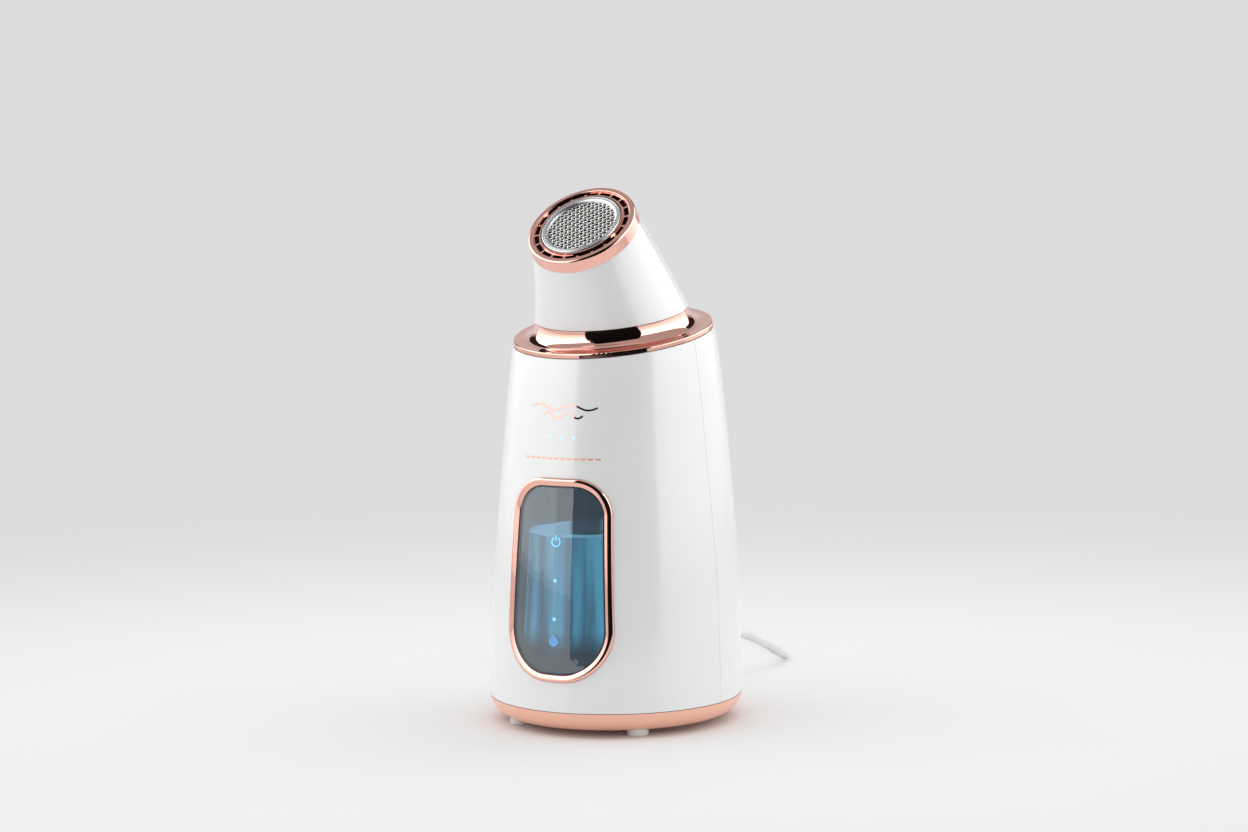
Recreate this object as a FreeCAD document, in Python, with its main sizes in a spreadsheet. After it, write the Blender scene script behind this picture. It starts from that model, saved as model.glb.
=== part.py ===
import FreeCAD, Part

# Desktop facial steamer: a leaning round housing with a water window, a lift-off lid
# with a trumpet collar, and a tilted steam head that swivels on the collar's neck.
#
# Frame: millimetres, +Z up, origin on the table under the middle of the base.
# The front of the machine faces -Y. Two tilted seats carry the upper pieces:
#   collar seat  top plane of the housing's rim, leaning forward by collar_tilt
#   nozzle seat  face of the steam outlet, leaning forward by nozzle_tilt
# In both seats the local +Z runs outwards along the piece's own axis.

import math
import os

import Sketcher
from FreeCAD import Placement, Rotation, Vector

SIZES = [
    # base tray and feet
    ("base_radius", 62.5), ("base_top", 12.4), ("base_belly_radius", 60.7),
    ("base_belly", 7.4), ("base_flat", 56.0), ("base_bottom", 3.6), ("base_wall", 2.4),
    ("lip_radius", 59.1), ("lip_wall", 1.8), ("lip_top", 17.0),
    ("foot_radius", 5.25), ("foot_circle", 50.2), ("foot_angle", 41.0),
    ("post_circle", 49.0), ("post_radius", 4.2), ("post_front_angle", 70.0),
    ("post_rear_angle", 120.0), ("screw_radius", 1.5), ("screw_head", 3.0),
    ("vent_circle", 26.0), ("vent_length", 12.0), ("vent_width", 2.0), ("vent_count", 12),
    # housing shell: height, radius, centre offset to the rear and tilt of each section
    ("foot_height", 12.7), ("foot_end_radius", 62.3), ("foot_offset", 0.0), ("foot_tilt", 0.0),
    ("low_height", 38.4), ("low_radius", 61.9), ("low_offset", 1.0), ("low_tilt", 0.0),
    ("belly_height", 78.4), ("belly_radius", 60.6), ("belly_offset", 2.2), ("belly_tilt", 0.0),
    ("chest_height", 118.4), ("chest_radius", 57.5), ("chest_offset", 3.0), ("chest_tilt", 1.5),
    ("shoulder_height", 153.4), ("shoulder_radius", 54.4), ("shoulder_offset", 3.2),
    ("shoulder_tilt", 5.0),
    ("rim_height", 190.74), ("rim_radius", 50.2), ("rim_offset", 2.36), ("rim_tilt", 10.6),
    ("shell_wall", 2.5), ("split", -6.0), ("split_gap", 0.2),
    ("boss_radius", 2.4), ("boss_half_span", 18.0), ("boss_low", 65.0), ("boss_high", 115.0),
    # water window: the outline in the shell, and how far each piece is drawn in from it
    ("window_top", 124.9), ("window_bottom", 26.8), ("window_half_top", 26.4),
    ("window_half_bottom", 30.2), ("window_round_top", 18.5), ("window_round_bottom", 25.0),
    ("bezel_inset", 0.15), ("bezel_step", 2.4), ("bezel_width", 4.0), ("pane_inset", 4.1),
    ("film_inset", 5.5), ("bezel_proud", 1.3), ("bezel_low_proud", 0.75),
    ("pane_proud", 0.3), ("pane_back", 2.0), ("film_front", 2.02), ("film_back", 2.4),
    # status lights
    ("led_height", 144.4), ("led_pitch", 6.5), ("led_offset", 0.7), ("led_radius", 0.85),
    ("led_board_front", -46.0), ("led_board_back", -44.8), ("led_board_half", 15.0),
    ("led_board_bottom", 138.0), ("led_board_top", 151.0),
    # collar seat and lid
    ("collar_height", 193.2), ("collar_offset", 1.9), ("collar_tilt", 10.6),
    ("flange_radius", 49.5), ("flange_rim", 2.2), ("neck_radius", 38.0), ("neck_top", 8.2),
    ("trumpet_radius", 7.6), ("neck_bore", 36.0),
    ("carrier_skirt", 46.3), ("carrier_deck", -2.4), ("carrier_bottom", -9.0),
    ("carrier_wall", 1.9), ("carrier_neck", 35.7), ("carrier_top", 7.9),
    ("journal_radius", 30.0), ("journal_bore", 27.6), ("journal_top", 13.2),
    ("gasket_bottom", -10.4), ("ledge_top", -10.8), ("ledge_bottom", -14.0),
    ("ledge_bore", 43.0), ("duct_seal_bottom", -12.4), ("riser_cut", -12.8),
    # nozzle seat and head
    ("nozzle_height", 245.8), ("nozzle_offset", -28.4), ("nozzle_tilt", 39.8),
    ("head_bottom", 8.5), ("head_low_radius", 38.15), ("head_mid_radius", 32.4),
    ("head_top_radius", 27.3), ("head_wall", 2.2), ("ring_radius", 27.4),
    ("ring_low_radius", 27.7), ("ring_bottom", -6.6), ("ring_channel_out", 24.4),
    ("ring_channel_in", 21.4), ("ring_channel", -1.1), ("ring_bore", 20.7),
    ("ring_inner_lip", -0.2), ("lip_round", 1.3), ("lip_inner_round", 0.6),
    ("slot_circle", 22.9), ("slot_length", 6.0), ("slot_width", 2.3), ("slot_count", 20),
    ("backing_bore", 17.2), ("backing_radius", 25.0), ("backing_bottom", -9.2),
    ("backing_step", 19.4), ("duct_wall", 1.4), ("duct_low_radius", 31.6),
    ("duct_mid_radius", 26.6), ("duct_top_radius", 18.6), ("duct_lift", 5.0),
    ("duct_drop", -2.6), ("pin_y", 8.0),
    # outlet cap
    ("cap_radius", 20.4), ("cap_top", 0.3), ("cap_bottom", -3.4), ("cap_opening", 17.0),
    ("screen_radius", 17.6), ("screen_top", -1.4), ("screen_bottom", -2.0),
    ("screen_hole", 0.72), ("screen_pitch", 1.98), ("screen_turn", 68.0),
    ("basket_radius", 16.6), ("basket_bore", 7.0), ("basket_bottom", -7.6),
    ("basket_wall", 1.0), ("basket_flange", 17.4), ("basket_top", -2.1),
    ("pad_top", -3.2), ("pad_gap", 0.3),
    # tank, boiler and mist
    ("tank_bottom", 25.0), ("tank_floor", 27.5), ("tank_low_radius", 41.0),
    ("tank_low_offset", -11.0), ("tank_high", 185.0), ("tank_high_radius", 31.6),
    ("tank_high_offset", -8.4), ("tank_wall", 2.0), ("tank_cut", -14.6),
    ("chassis_bottom", 22.0), ("chassis_top", 24.5), ("chassis_radius", 58.6),
    ("riser_offset", -27.0), ("riser_radius", 8.0), ("riser_bore", 6.5),
    ("boiler_radius", 18.0), ("boiler_bottom", 14.0), ("heater_bottom", 10.8),
    ("piezo_offset", 14.0), ("piezo_radius", 10.0), ("piezo_window", 8.0),
    ("filter_x", 15.4), ("feed_radius", 0.9), ("float_x", -18.0), ("float_y", 8.0),
    ("float_stem", 2.5), ("float_radius", 9.0), ("float_low", 47.0), ("float_high", 57.1),
    ("float_stop", 57.5), ("float_tip", 60.0), ("float_foot", 4.5),
    # electronics
    ("power_bottom", 9.0), ("power_top", 10.6), ("power_half", 23.0), ("power_front", 26.5),
    ("power_back", 50.5), ("can_radius", 3.7), ("can_top", 20.0),
    ("control_half", 22.0), ("control_front", 40.0), ("control_back", 41.6),
    ("control_bottom", 60.0), ("control_top", 120.0),
    ("module_half", 11.0), ("module_front", 34.0), ("module_back", 42.0), ("module_top", 42.0),
    # mains lead
    ("cord_diameter", 4.4), ("exit_height", 26.0), ("exit_wall", 62.6), ("relief_length", 24.0),
    ("relief_hole", 4.2), ("coil_x", -52.0), ("coil_y", 97.0), ("coil_middle", 25.0),
    ("coil_half_width", 8.8), ("coil_thickness", 8.4),
    ("plug_length", 27.0), ("plug_width", 22.0), ("plug_height", 14.0), ("plug_round", 4.0),
    ("pin_length", 17.0), ("pin_thickness", 1.5), ("pin_width", 6.3), ("pin_spacing", 12.7),
]

# The lead's corner points from the strain relief to the coil, and from the coil to the plug.
LEAD_ROUTE = [
    (0.0, 86.6, 26.0), (2.2, 101.5, 25.8), (4.7, 115.5, 24.7), (7.3, 128.5, 21.9),
    (9.9, 141.0, 17.0), (12.2, 153.2, 11.2), (11.6, 164.2, 6.3), (9.1, 174.8, 3.1),
    (3.6, 183.2, 2.3), (-6.2, 193.6, 2.3), (-17.6, 207.0, 2.3), (-30.4, 219.8, 2.3),
    (-43.0, 230.2, 2.3), (-57.5, 238.0, 2.3), (-73.5, 240.5, 2.3), (-88.5, 234.0, 2.3),
    (-97.5, 220.5, 2.3), (-98.0, 204.0, 2.3), (-89.5, 190.0, 2.3), (-75.0, 181.5, 2.3),
    (-58.5, 174.5, 2.3), (-44.0, 164.5, 2.3), (-32.5, 151.0, 2.3), (-24.2, 134.5, 2.3),
    (-20.8, 116.0, 2.3), (-20.4, 97.4, 2.3),
]
PLUG_ROUTE = [
    (-74.0, 76.0, 6.2), (-83.0, 85.0, 5.2), (-91.5, 93.0, 5.6), (-100.0, 100.0, 7.2),
]
PLUG_HEADING = 140.0

SECTIONS = ["foot", "low", "belly", "chest", "shoulder", "rim"]
WINDOW_REACH = 90.0

doc = FreeCAD.newDocument("facial_steamer")
sheet = doc.addObject("Spreadsheet::Sheet", "sizes")
nodes = []


def fill_sheet():
    """Write the driving dimensions and their aliases."""
    for row, (alias, number) in enumerate(SIZES, start=1):
        sheet.set(f"A{row}", alias)
        sheet.set(f"B{row}", str(number))
        sheet.setAlias(f"B{row}", alias)
    doc.recompute()


def size(alias):
    """A driving dimension as a plain number."""
    return float(sheet.get(alias))


def number(term):
    """The value of a term: a number, an alias, or (alias, amount to add)."""
    if isinstance(term, str):
        return size(term)
    if isinstance(term, tuple):
        return size(term[0]) + term[1]
    return float(term)


def formula(term):
    """The same term as an expression for a bound property."""
    if isinstance(term, str):
        return f"sizes.{term}"
    if isinstance(term, tuple):
        return f"sizes.{term[0]} + ({term[1]})"
    return str(float(term))


def keep(shape_object, label):
    """Register a finished sub-part under its node name."""
    shape_object.Label = label
    nodes.append(shape_object)
    return shape_object


# ---------------------------------------------------------------- seats

def seat_placement(seat):
    """Placement of the collar or nozzle seat, or of the upright frame."""
    if seat is None:
        return Placement()
    origin = Vector(0, size(f"{seat}_offset"), size(f"{seat}_height"))
    return Placement(origin, Rotation(Vector(1, 0, 0), size(f"{seat}_tilt")))


def put_in_seat(thing, seat):
    """Stand an object in a tilted seat and bind it there."""
    if seat is None:
        return
    thing.Placement = seat_placement(seat)
    thing.setExpression("Placement.Base.y", f"sizes.{seat}_offset")
    thing.setExpression("Placement.Base.z", f"sizes.{seat}_height")
    thing.setExpression("Placement.Rotation.Angle", f"sizes.{seat}_tilt")


def put_at(thing, x_term, y_term):
    """Move an upright object sideways to a bound place."""
    thing.Placement = Placement(Vector(number(x_term), number(y_term), 0), Rotation())
    thing.setExpression("Placement.Base.x", formula(x_term))
    thing.setExpression("Placement.Base.y", formula(y_term))


# ---------------------------------------------------------------- sketched bodies

def origin_plane(body, role):
    """One of the body's own origin planes."""
    for feature in body.Origin.OriginFeatures:
        if feature.Role == role:
            return feature
    raise ValueError(role)


def new_sketch(body, role, name):
    """An empty sketch on an origin plane of the body."""
    sketch = body.newObject("Sketcher::SketchObject", name)
    sketch.AttachmentSupport = [(origin_plane(body, role), "")]
    sketch.MapMode = "FlatFace"
    return sketch


def pin_point(sketch, line, term_x, term_y):
    """Hold the start of a line at bound distances from the sketch origin."""
    for kind, term, axis in (("DistanceX", term_x, -2), ("DistanceY", term_y, -1)):
        if number(term) == 0:
            sketch.addConstraint(Sketcher.Constraint("PointOnObject", line, 1, axis))
            continue
        index = sketch.addConstraint(
            Sketcher.Constraint(kind, -1, 1, line, 1, number(term)))
        sketch.setExpression(f"Constraints[{index}]", formula(term))


def polygon_sketch(body, role, name, corners):
    """A closed outline of straight lines through bound corners."""
    sketch = new_sketch(body, role, name)
    points = [Vector(number(x), number(y), 0) for x, y in corners]
    for start, end in zip(points, points[1:] + points[:1]):
        sketch.addGeometry(Part.LineSegment(start, end), False)
    count = len(points)
    for line in range(count):
        following = (line + 1) % count
        sketch.addConstraint(Sketcher.Constraint("Coincident", line, 2, following, 1))
    for line, (x_term, y_term) in enumerate(corners):
        pin_point(sketch, line, x_term, y_term)
    return sketch


def turned(label, corners, seat=None):
    """A body of revolution: corners are (radius, height) in its seat."""
    body = doc.addObject("PartDesign::Body", label)
    sketch = polygon_sketch(body, "XZ_Plane", label + "_profile", corners)
    spin = body.newObject("PartDesign::Revolution", label + "_turn")
    spin.Profile = sketch
    spin.ReferenceAxis = (sketch, ["V_Axis"])
    spin.Angle = 360.0
    put_in_seat(body, seat)
    return body


def ring_edges(feature, radius, height):
    """Names of the feature's round edges of one radius at one height."""
    names = []
    for index, edge in enumerate(feature.Shape.Edges, start=1):
        if not isinstance(edge.Curve, Part.Circle):
            continue
        same_radius = abs(edge.Curve.Radius - radius) < 0.02
        same_height = abs(edge.Curve.Center.z - height) < 0.02
        if same_radius and same_height:
            names.append(f"Edge{index}")
    return names


def round_edge(body, radius_term, height_term, amount_term):
    """Fillet the round edge at a radius and height of a turned body."""
    doc.recompute()
    base = body.Tip
    edges = ring_edges(base, number(radius_term), number(height_term))
    fillet = body.newObject("PartDesign::Fillet", body.Name + "_round")
    fillet.Base = (base, edges)
    fillet.Radius = number(amount_term)
    fillet.setExpression("Radius", formula(amount_term))
    body.Tip = fillet
    doc.recompute()


def padded_outline(label, corners, depth, role="XZ_Plane"):
    """A straight-sided block padded from an origin plane."""
    body = doc.addObject("PartDesign::Body", label)
    sketch = polygon_sketch(body, role, label + "_outline", corners)
    pad = body.newObject("PartDesign::Pad", label + "_pad")
    pad.Profile = sketch
    pad.Length = depth
    return body


# ---------------------------------------------------------------- primitives and booleans

def box(name, low, high):
    """An upright box between two corners of bound terms."""
    block = doc.addObject("Part::Box", name)
    spans = []
    for low_term, high_term in zip(low, high):
        spans.append(f"({formula(high_term)}) - ({formula(low_term)})")
    for side, span in zip(("Length", "Width", "Height"), spans):
        block.setExpression(side, span)
    block.Placement = Placement(Vector(*[number(term) for term in low]), Rotation())
    for letter, term in zip("xyz", low):
        block.setExpression(f"Placement.Base.{letter}", formula(term))
    return block


def cylinder(name, radius, low, high, x_term=0, y_term=0):
    """An upright cylinder between two bound heights."""
    rod = doc.addObject("Part::Cylinder", name)
    rod.setExpression("Radius", formula(radius))
    rod.setExpression("Height", f"({formula(high)}) - ({formula(low)})")
    rod.Placement = Placement(Vector(number(x_term), number(y_term), number(low)), Rotation())
    for letter, term in zip("xyz", (x_term, y_term, low)):
        rod.setExpression(f"Placement.Base.{letter}", formula(term))
    return rod


def rod_along_y(name, radius, start, end, x_term, z_term):
    """A cylinder running towards +Y between two bound places."""
    rod = doc.addObject("Part::Cylinder", name)
    rod.setExpression("Radius", formula(radius))
    rod.setExpression("Height", f"({formula(end)}) - ({formula(start)})")
    place = Vector(number(x_term), number(start), number(z_term))
    rod.Placement = Placement(place, Rotation(Vector(1, 0, 0), -90))
    for letter, term in zip("xyz", (x_term, start, z_term)):
        rod.setExpression(f"Placement.Base.{letter}", formula(term))
    return rod


def cut(name, base, tool):
    """Base minus tool."""
    result = doc.addObject("Part::Cut", name)
    result.Base = base
    result.Tool = tool
    return result


def common(name, base, tool):
    """What base and tool share."""
    result = doc.addObject("Part::Common", name)
    result.Base = base
    result.Tool = tool
    return result


def fuse(name, pieces):
    """One solid from several that overlap."""
    result = doc.addObject("Part::MultiFuse", name)
    result.Shapes = pieces
    return result


def group(name, pieces):
    """Several separate solids kept together in one node."""
    result = doc.addObject("Part::Compound", name)
    result.Links = pieces
    return result


def tilted_block(name, seat, low, high, half_side=90.0):
    """A wide block between two heights of a tilted seat."""
    block = doc.addObject("Part::Box", name)
    block.Length = 2 * half_side
    block.Width = 2 * half_side
    block.setExpression("Height", f"({formula(high)}) - ({formula(low)})")
    corner = Placement(Vector(-half_side, -half_side, number(low)), Rotation())
    block.Placement = seat_placement(seat).multiply(corner)
    return block


def around(count, circle, first_angle=0.0):
    """Evenly spaced places on a circle, the angle measured from the front (-Y)."""
    for index in range(count):
        angle = math.radians(first_angle + 360.0 * index / count)
        yield circle * math.sin(angle), -circle * math.cos(angle)


def mirrored_angles(circle, angles):
    """Places on both sides of the front-to-back plane."""
    places = []
    for angle in angles:
        for side in (-1, 1):
            x = side * circle * math.sin(math.radians(angle))
            places.append((x, -circle * math.cos(math.radians(angle))))
    return places


def foot_places():
    """Centres of the four feet."""
    angle = size("foot_angle")
    return mirrored_angles(size("foot_circle"), (angle, 180.0 - angle))


def post_places():
    """Centres of the four screw posts of the base."""
    angles = (size("post_front_angle"), size("post_rear_angle"))
    return mirrored_angles(size("post_circle"), angles)


def board_places():
    """Centres of the four small posts under the power board."""
    return [(x, y) for x in (-19.0, 19.0) for y in (30.0, 47.0)]


# ---------------------------------------------------------------- housing

def round_section(name, radius_formula, y_formula, z_formula, tilt_formula, start):
    """One circle of a loft, bound to the sheet; start is its placement now."""
    circle = doc.addObject("Part::Circle", name)
    circle.setExpression("Radius", radius_formula)
    circle.Placement = start
    circle.setExpression("Placement.Base.y", y_formula)
    circle.setExpression("Placement.Base.z", z_formula)
    circle.setExpression("Placement.Rotation.Angle", tilt_formula)
    return circle


def loft(name, circles):
    """A closed solid through round sections."""
    body = doc.addObject("Part::Loft", name)
    body.Sections = circles
    body.Solid = True
    body.Ruled = False
    return body


def housing_loft(name, allowance):
    """The housing's form, grown or shrunk by a formula."""
    circles = []
    for section in SECTIONS:
        radius = "foot_end_radius" if section == "foot" else f"{section}_radius"
        start = Placement(
            Vector(0, size(f"{section}_offset"), size(f"{section}_height")),
            Rotation(Vector(1, 0, 0), max(size(f"{section}_tilt"), 0.001)))
        circles.append(round_section(
            f"{name}_{section}", f"sizes.{radius} + ({allowance})",
            f"sizes.{section}_offset", f"sizes.{section}_height",
            f"sizes.{section}_tilt", start))
    return loft(name, circles)


def window_block(name, inset):
    """The window's outline, drawn in by an inset, padded out through the front wall."""
    drawn_in = -number(inset)
    top = ("window_top", drawn_in)
    bottom = ("window_bottom", -drawn_in)
    half_top = number(("window_half_top", drawn_in))
    half_bottom = number(("window_half_bottom", drawn_in))
    corners = [(half_top, top), (half_bottom, bottom), (-half_bottom, bottom), (-half_top, top)]
    body = padded_outline(name, corners, WINDOW_REACH)
    round_window(body, number(top), ("window_round_top", drawn_in))
    round_window(body, number(bottom), ("window_round_bottom", drawn_in))
    return body


def round_window(body, height, radius_term):
    """Round the two corners of a window block that run back at one height."""
    doc.recompute()
    base = body.Tip
    names = []
    for index, edge in enumerate(base.Shape.Edges, start=1):
        limits = edge.BoundBox
        if limits.YLength > 0.9 * WINDOW_REACH and abs(limits.ZMin - height) < 0.5:
            names.append(f"Edge{index}")
    fillet = body.newObject("PartDesign::Fillet", body.Name + "_round")
    fillet.Base = (base, names)
    fillet.Radius = number(radius_term)
    fillet.setExpression("Radius", formula(radius_term))
    body.Tip = fillet
    doc.recompute()


def window_wall(name, front, back, limit):
    """The part of a wall between two housing forms that lies inside a window block."""
    outside = housing_loft(f"{name}_front", front)
    inside = housing_loft(f"{name}_back", back)
    return common(f"{name}_wall", cut(f"{name}_skin", outside, inside), limit)


def make_lights(holes):
    """Light pipes of the status lights, whose holes join the front shell's holes."""
    pipes = []
    for index in (-1, 0, 1):
        x = size("led_offset") + index * size("led_pitch")
        holes.append(rod_along_y(f"pipe_hole_{index + 1}", ("led_radius", 0.05), -60, -40,
                                 x, "led_height"))
        pipes.append(rod_along_y(f"pipe_{index + 1}", "led_radius", -60, "led_board_front",
                                 x, "led_height"))
    pipe_limit = housing_loft("pipe_limit", "0.05")
    keep(common("pipes_trimmed", group("pipes", pipes), pipe_limit), "status_leds")
    keep(box("led_board_blank", (("led_board_half", -30), "led_board_front", "led_board_bottom"),
             ("led_board_half", "led_board_back", "led_board_top")), "led_board")


def make_window():
    """Two-step bezel, tinted pane and the touch film behind it."""
    edge = window_block("bezel_edge", "bezel_inset")
    step = window_block("bezel_middle", "bezel_step")
    glass_line = window_block("bezel_inner", "bezel_width")
    high = window_wall("bezel_high", "sizes.bezel_proud", "-sizes.shell_wall", edge)
    low = window_wall("bezel_low", "sizes.bezel_low_proud", "-sizes.shell_wall", edge)
    rim = cut("bezel_rim", high, step)
    band = fuse("bezel_band", [rim, low])
    keep(cut("bezel_cut", band, glass_line), "window_bezel")
    pane_limit = window_block("pane_limit", "pane_inset")
    pane = window_wall("pane", "sizes.pane_proud", "-sizes.pane_back", pane_limit)
    keep(pane, "window_pane")
    film_limit = window_block("film_limit", "film_inset")
    film = window_wall("film", "-sizes.film_front", "-sizes.film_back", film_limit)
    keep(film, "touch_film")


def make_housing():
    """Front and rear shells, status lights, window and rim ring."""
    outer = housing_loft("housing_outer", "0")
    inner = housing_loft("housing_inner", "-sizes.shell_wall")
    wall = cut("housing_wall", outer, inner)
    half_gap = size("split_gap") / 2
    front_half = box("front_half", (-90, -90, 0), (90, ("split", -half_gap), 230))
    rear_half = box("rear_half", (-90, ("split", half_gap), 0), (90, 90, 230))

    holes = [window_block("window_hole", 0)]
    make_lights(holes)
    front_wall = common("front_wall", wall, front_half)
    keep(cut("front_cut", front_wall, fuse("front_holes", holes)), "front_shell")

    bosses = []
    for side in (-1, 1):
        for level in ("boss_low", "boss_high"):
            bosses.append(rod_along_y(f"{level}_{side + 1}", "boss_radius", "control_back", 75,
                                      side * size("boss_half_span"), level))
    boss_limit = common("boss_trimmed", fuse("bosses", bosses), outer)
    rear_wall = fuse("rear_wall", [common("rear_skin", wall, rear_half), boss_limit])
    relief_hole = rod_along_y("relief_opening", "relief_hole", 50, 75, 0, "exit_height")
    keep(cut("rear_cut", rear_wall, relief_hole), "rear_shell")

    make_window()
    ledge = turned("ledge", [("ledge_bore", "ledge_bottom"), (49, "ledge_bottom"),
                             (49, "ledge_top"), ("ledge_bore", "ledge_top")], "collar")
    keep(common("ledge_trimmed", ledge, inner), "rim_ring")


# ---------------------------------------------------------------- base

def arc_profile_tray():
    """The tray's bowl: flat floor, bulging skirt, step and centring lip."""
    body = doc.addObject("PartDesign::Body", "tray_blank")
    sketch = new_sketch(body, "XZ_Plane", "tray_profile")
    flat = size("base_flat")
    bottom = size("base_bottom")
    wall = size("base_wall")
    outside = Part.Arc(Vector(flat, bottom, 0),
                       Vector(size("base_belly_radius"), size("base_belly"), 0),
                       Vector(size("base_radius"), size("base_top"), 0))
    points = [
        (size("base_radius"), size("base_top")), (size("lip_radius"), size("base_top")),
        (size("lip_radius"), size("lip_top")),
        (size("lip_radius") - size("lip_wall"), size("lip_top")),
        (size("lip_radius") - size("lip_wall"), size("base_belly") + wall),
        (flat - wall, bottom + wall), (0.0, bottom + wall), (0.0, bottom), (flat, bottom),
    ]
    sketch.addGeometry(outside, False)
    for start, end in zip(points, points[1:]):
        sketch.addGeometry(Part.LineSegment(Vector(*start, 0), Vector(*end, 0)), False)
    for line in range(len(points)):
        sketch.addConstraint(Sketcher.Constraint("Block", line))
    spin = body.newObject("PartDesign::Revolution", "tray_turn")
    spin.Profile = sketch
    spin.ReferenceAxis = (sketch, ["V_Axis"])
    spin.Angle = 360.0
    return body


def make_base():
    """Base tray with posts, vents and screw holes; feet; screws."""
    posts = [arc_profile_tray()]
    drills = []
    screws = []
    floor_top = ("base_bottom", 2.3)
    for index, (x, y) in enumerate(post_places()):
        posts.append(cylinder(f"post_{index}", "post_radius", floor_top, "chassis_bottom", x, y))
        drills.append(cylinder(f"post_bore_{index}", ("screw_radius", 0.1), 0, 30, x, y))
        drills.append(cylinder(f"head_well_{index}", ("screw_head", 0.4), 0, 6.2, x, y))
        shank = cylinder(f"shank_{index}", "screw_radius", 6.0, "chassis_top", x, y)
        head = cylinder(f"head_{index}", "screw_head", 4.4, 6.2, x, y)
        slot_a = box(f"cross_a_{index}", (x - 2.0, y - 0.4, 4.0), (x + 2.0, y + 0.4, 5.2))
        slot_b = box(f"cross_b_{index}", (x - 0.4, y - 2.0, 4.0), (x + 0.4, y + 2.0, 5.2))
        blank = fuse(f"screw_{index}", [shank, head])
        cross = fuse(f"cross_{index}", [slot_a, slot_b])
        screws.append(cut(f"driven_{index}", blank, cross))
    for index, (x, y) in enumerate(board_places()):
        posts.append(cylinder(f"small_post_{index}", 2.2, floor_top, 9.0, x, y))
        drills.append(cylinder(f"small_bore_{index}", 1.1, 7.0, 12.0, x, y))
    for index, (x, y) in enumerate(around(int(size("vent_count")), size("vent_circle"))):
        slot = doc.addObject("Part::Box", f"vent_{index}")
        slot.setExpression("Length", "sizes.vent_length")
        slot.setExpression("Width", "sizes.vent_width")
        slot.Height = 12.0
        turn = Rotation(Vector(0, 0, 1), math.degrees(math.atan2(y, x)))
        corner = Vector(-size("vent_length") / 2, -size("vent_width") / 2, -2.0)
        slot.Placement = Placement(Vector(x, y, 0), turn).multiply(Placement(corner, Rotation()))
        drills.append(slot)
    tray = cut("tray_cut", fuse("tray_posts", posts), fuse("tray_drills", drills))
    keep(tray, "base_tray")
    keep(group("screw_group", screws), "base_screws")

    feet = []
    for index, (x, y) in enumerate(foot_places()):
        foot = turned(f"foot_{index}", [
            (0, 0), (("foot_radius", -0.5), 0), ("foot_radius", 0.5),
            ("foot_radius", "base_bottom"), (0, "base_bottom")])
        foot.Placement = Placement(Vector(x, y, 0), Rotation())
        feet.append(foot)
    keep(group("feet", feet), "foot_pads")


# ---------------------------------------------------------------- water and steam

def make_tank():
    """Clear tank with a floor, holes for riser, filter and transducer, open at the top."""
    shapes = []
    for name, floor, wall in (("tank_out", "tank_bottom", "0"),
                              ("tank_in", "tank_floor", "-sizes.tank_wall")):
        circles = []
        for end, z_alias in (("low", floor), ("high", "tank_high")):
            start = Placement(Vector(0, size(f"tank_{end}_offset"), size(z_alias)),
                              Rotation(Vector(1, 0, 0), 0.001))
            circles.append(round_section(
                f"{name}_{end}", f"sizes.tank_{end}_radius + ({wall})",
                f"sizes.tank_{end}_offset", f"sizes.{z_alias}", "0", start))
        shapes.append(loft(name, circles))
    riser = ("riser_radius", 0.15)
    tools = [
        shapes[1],
        cylinder("tank_riser_hole", riser, 20, 30, 0, "riser_offset"),
        cylinder("tank_mist_hole", "piezo_window", 20, 30, 0, "piezo_offset"),
        cylinder("tank_feed_hole", 2.0, 20, 30, "filter_x", "riser_offset"),
        tilted_block("tank_lid_space", "collar", "tank_cut", 60),
    ]
    keep(cut("tank_cut_open", shapes[0], fuse("tank_tools", tools)), "water_tank")


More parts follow.
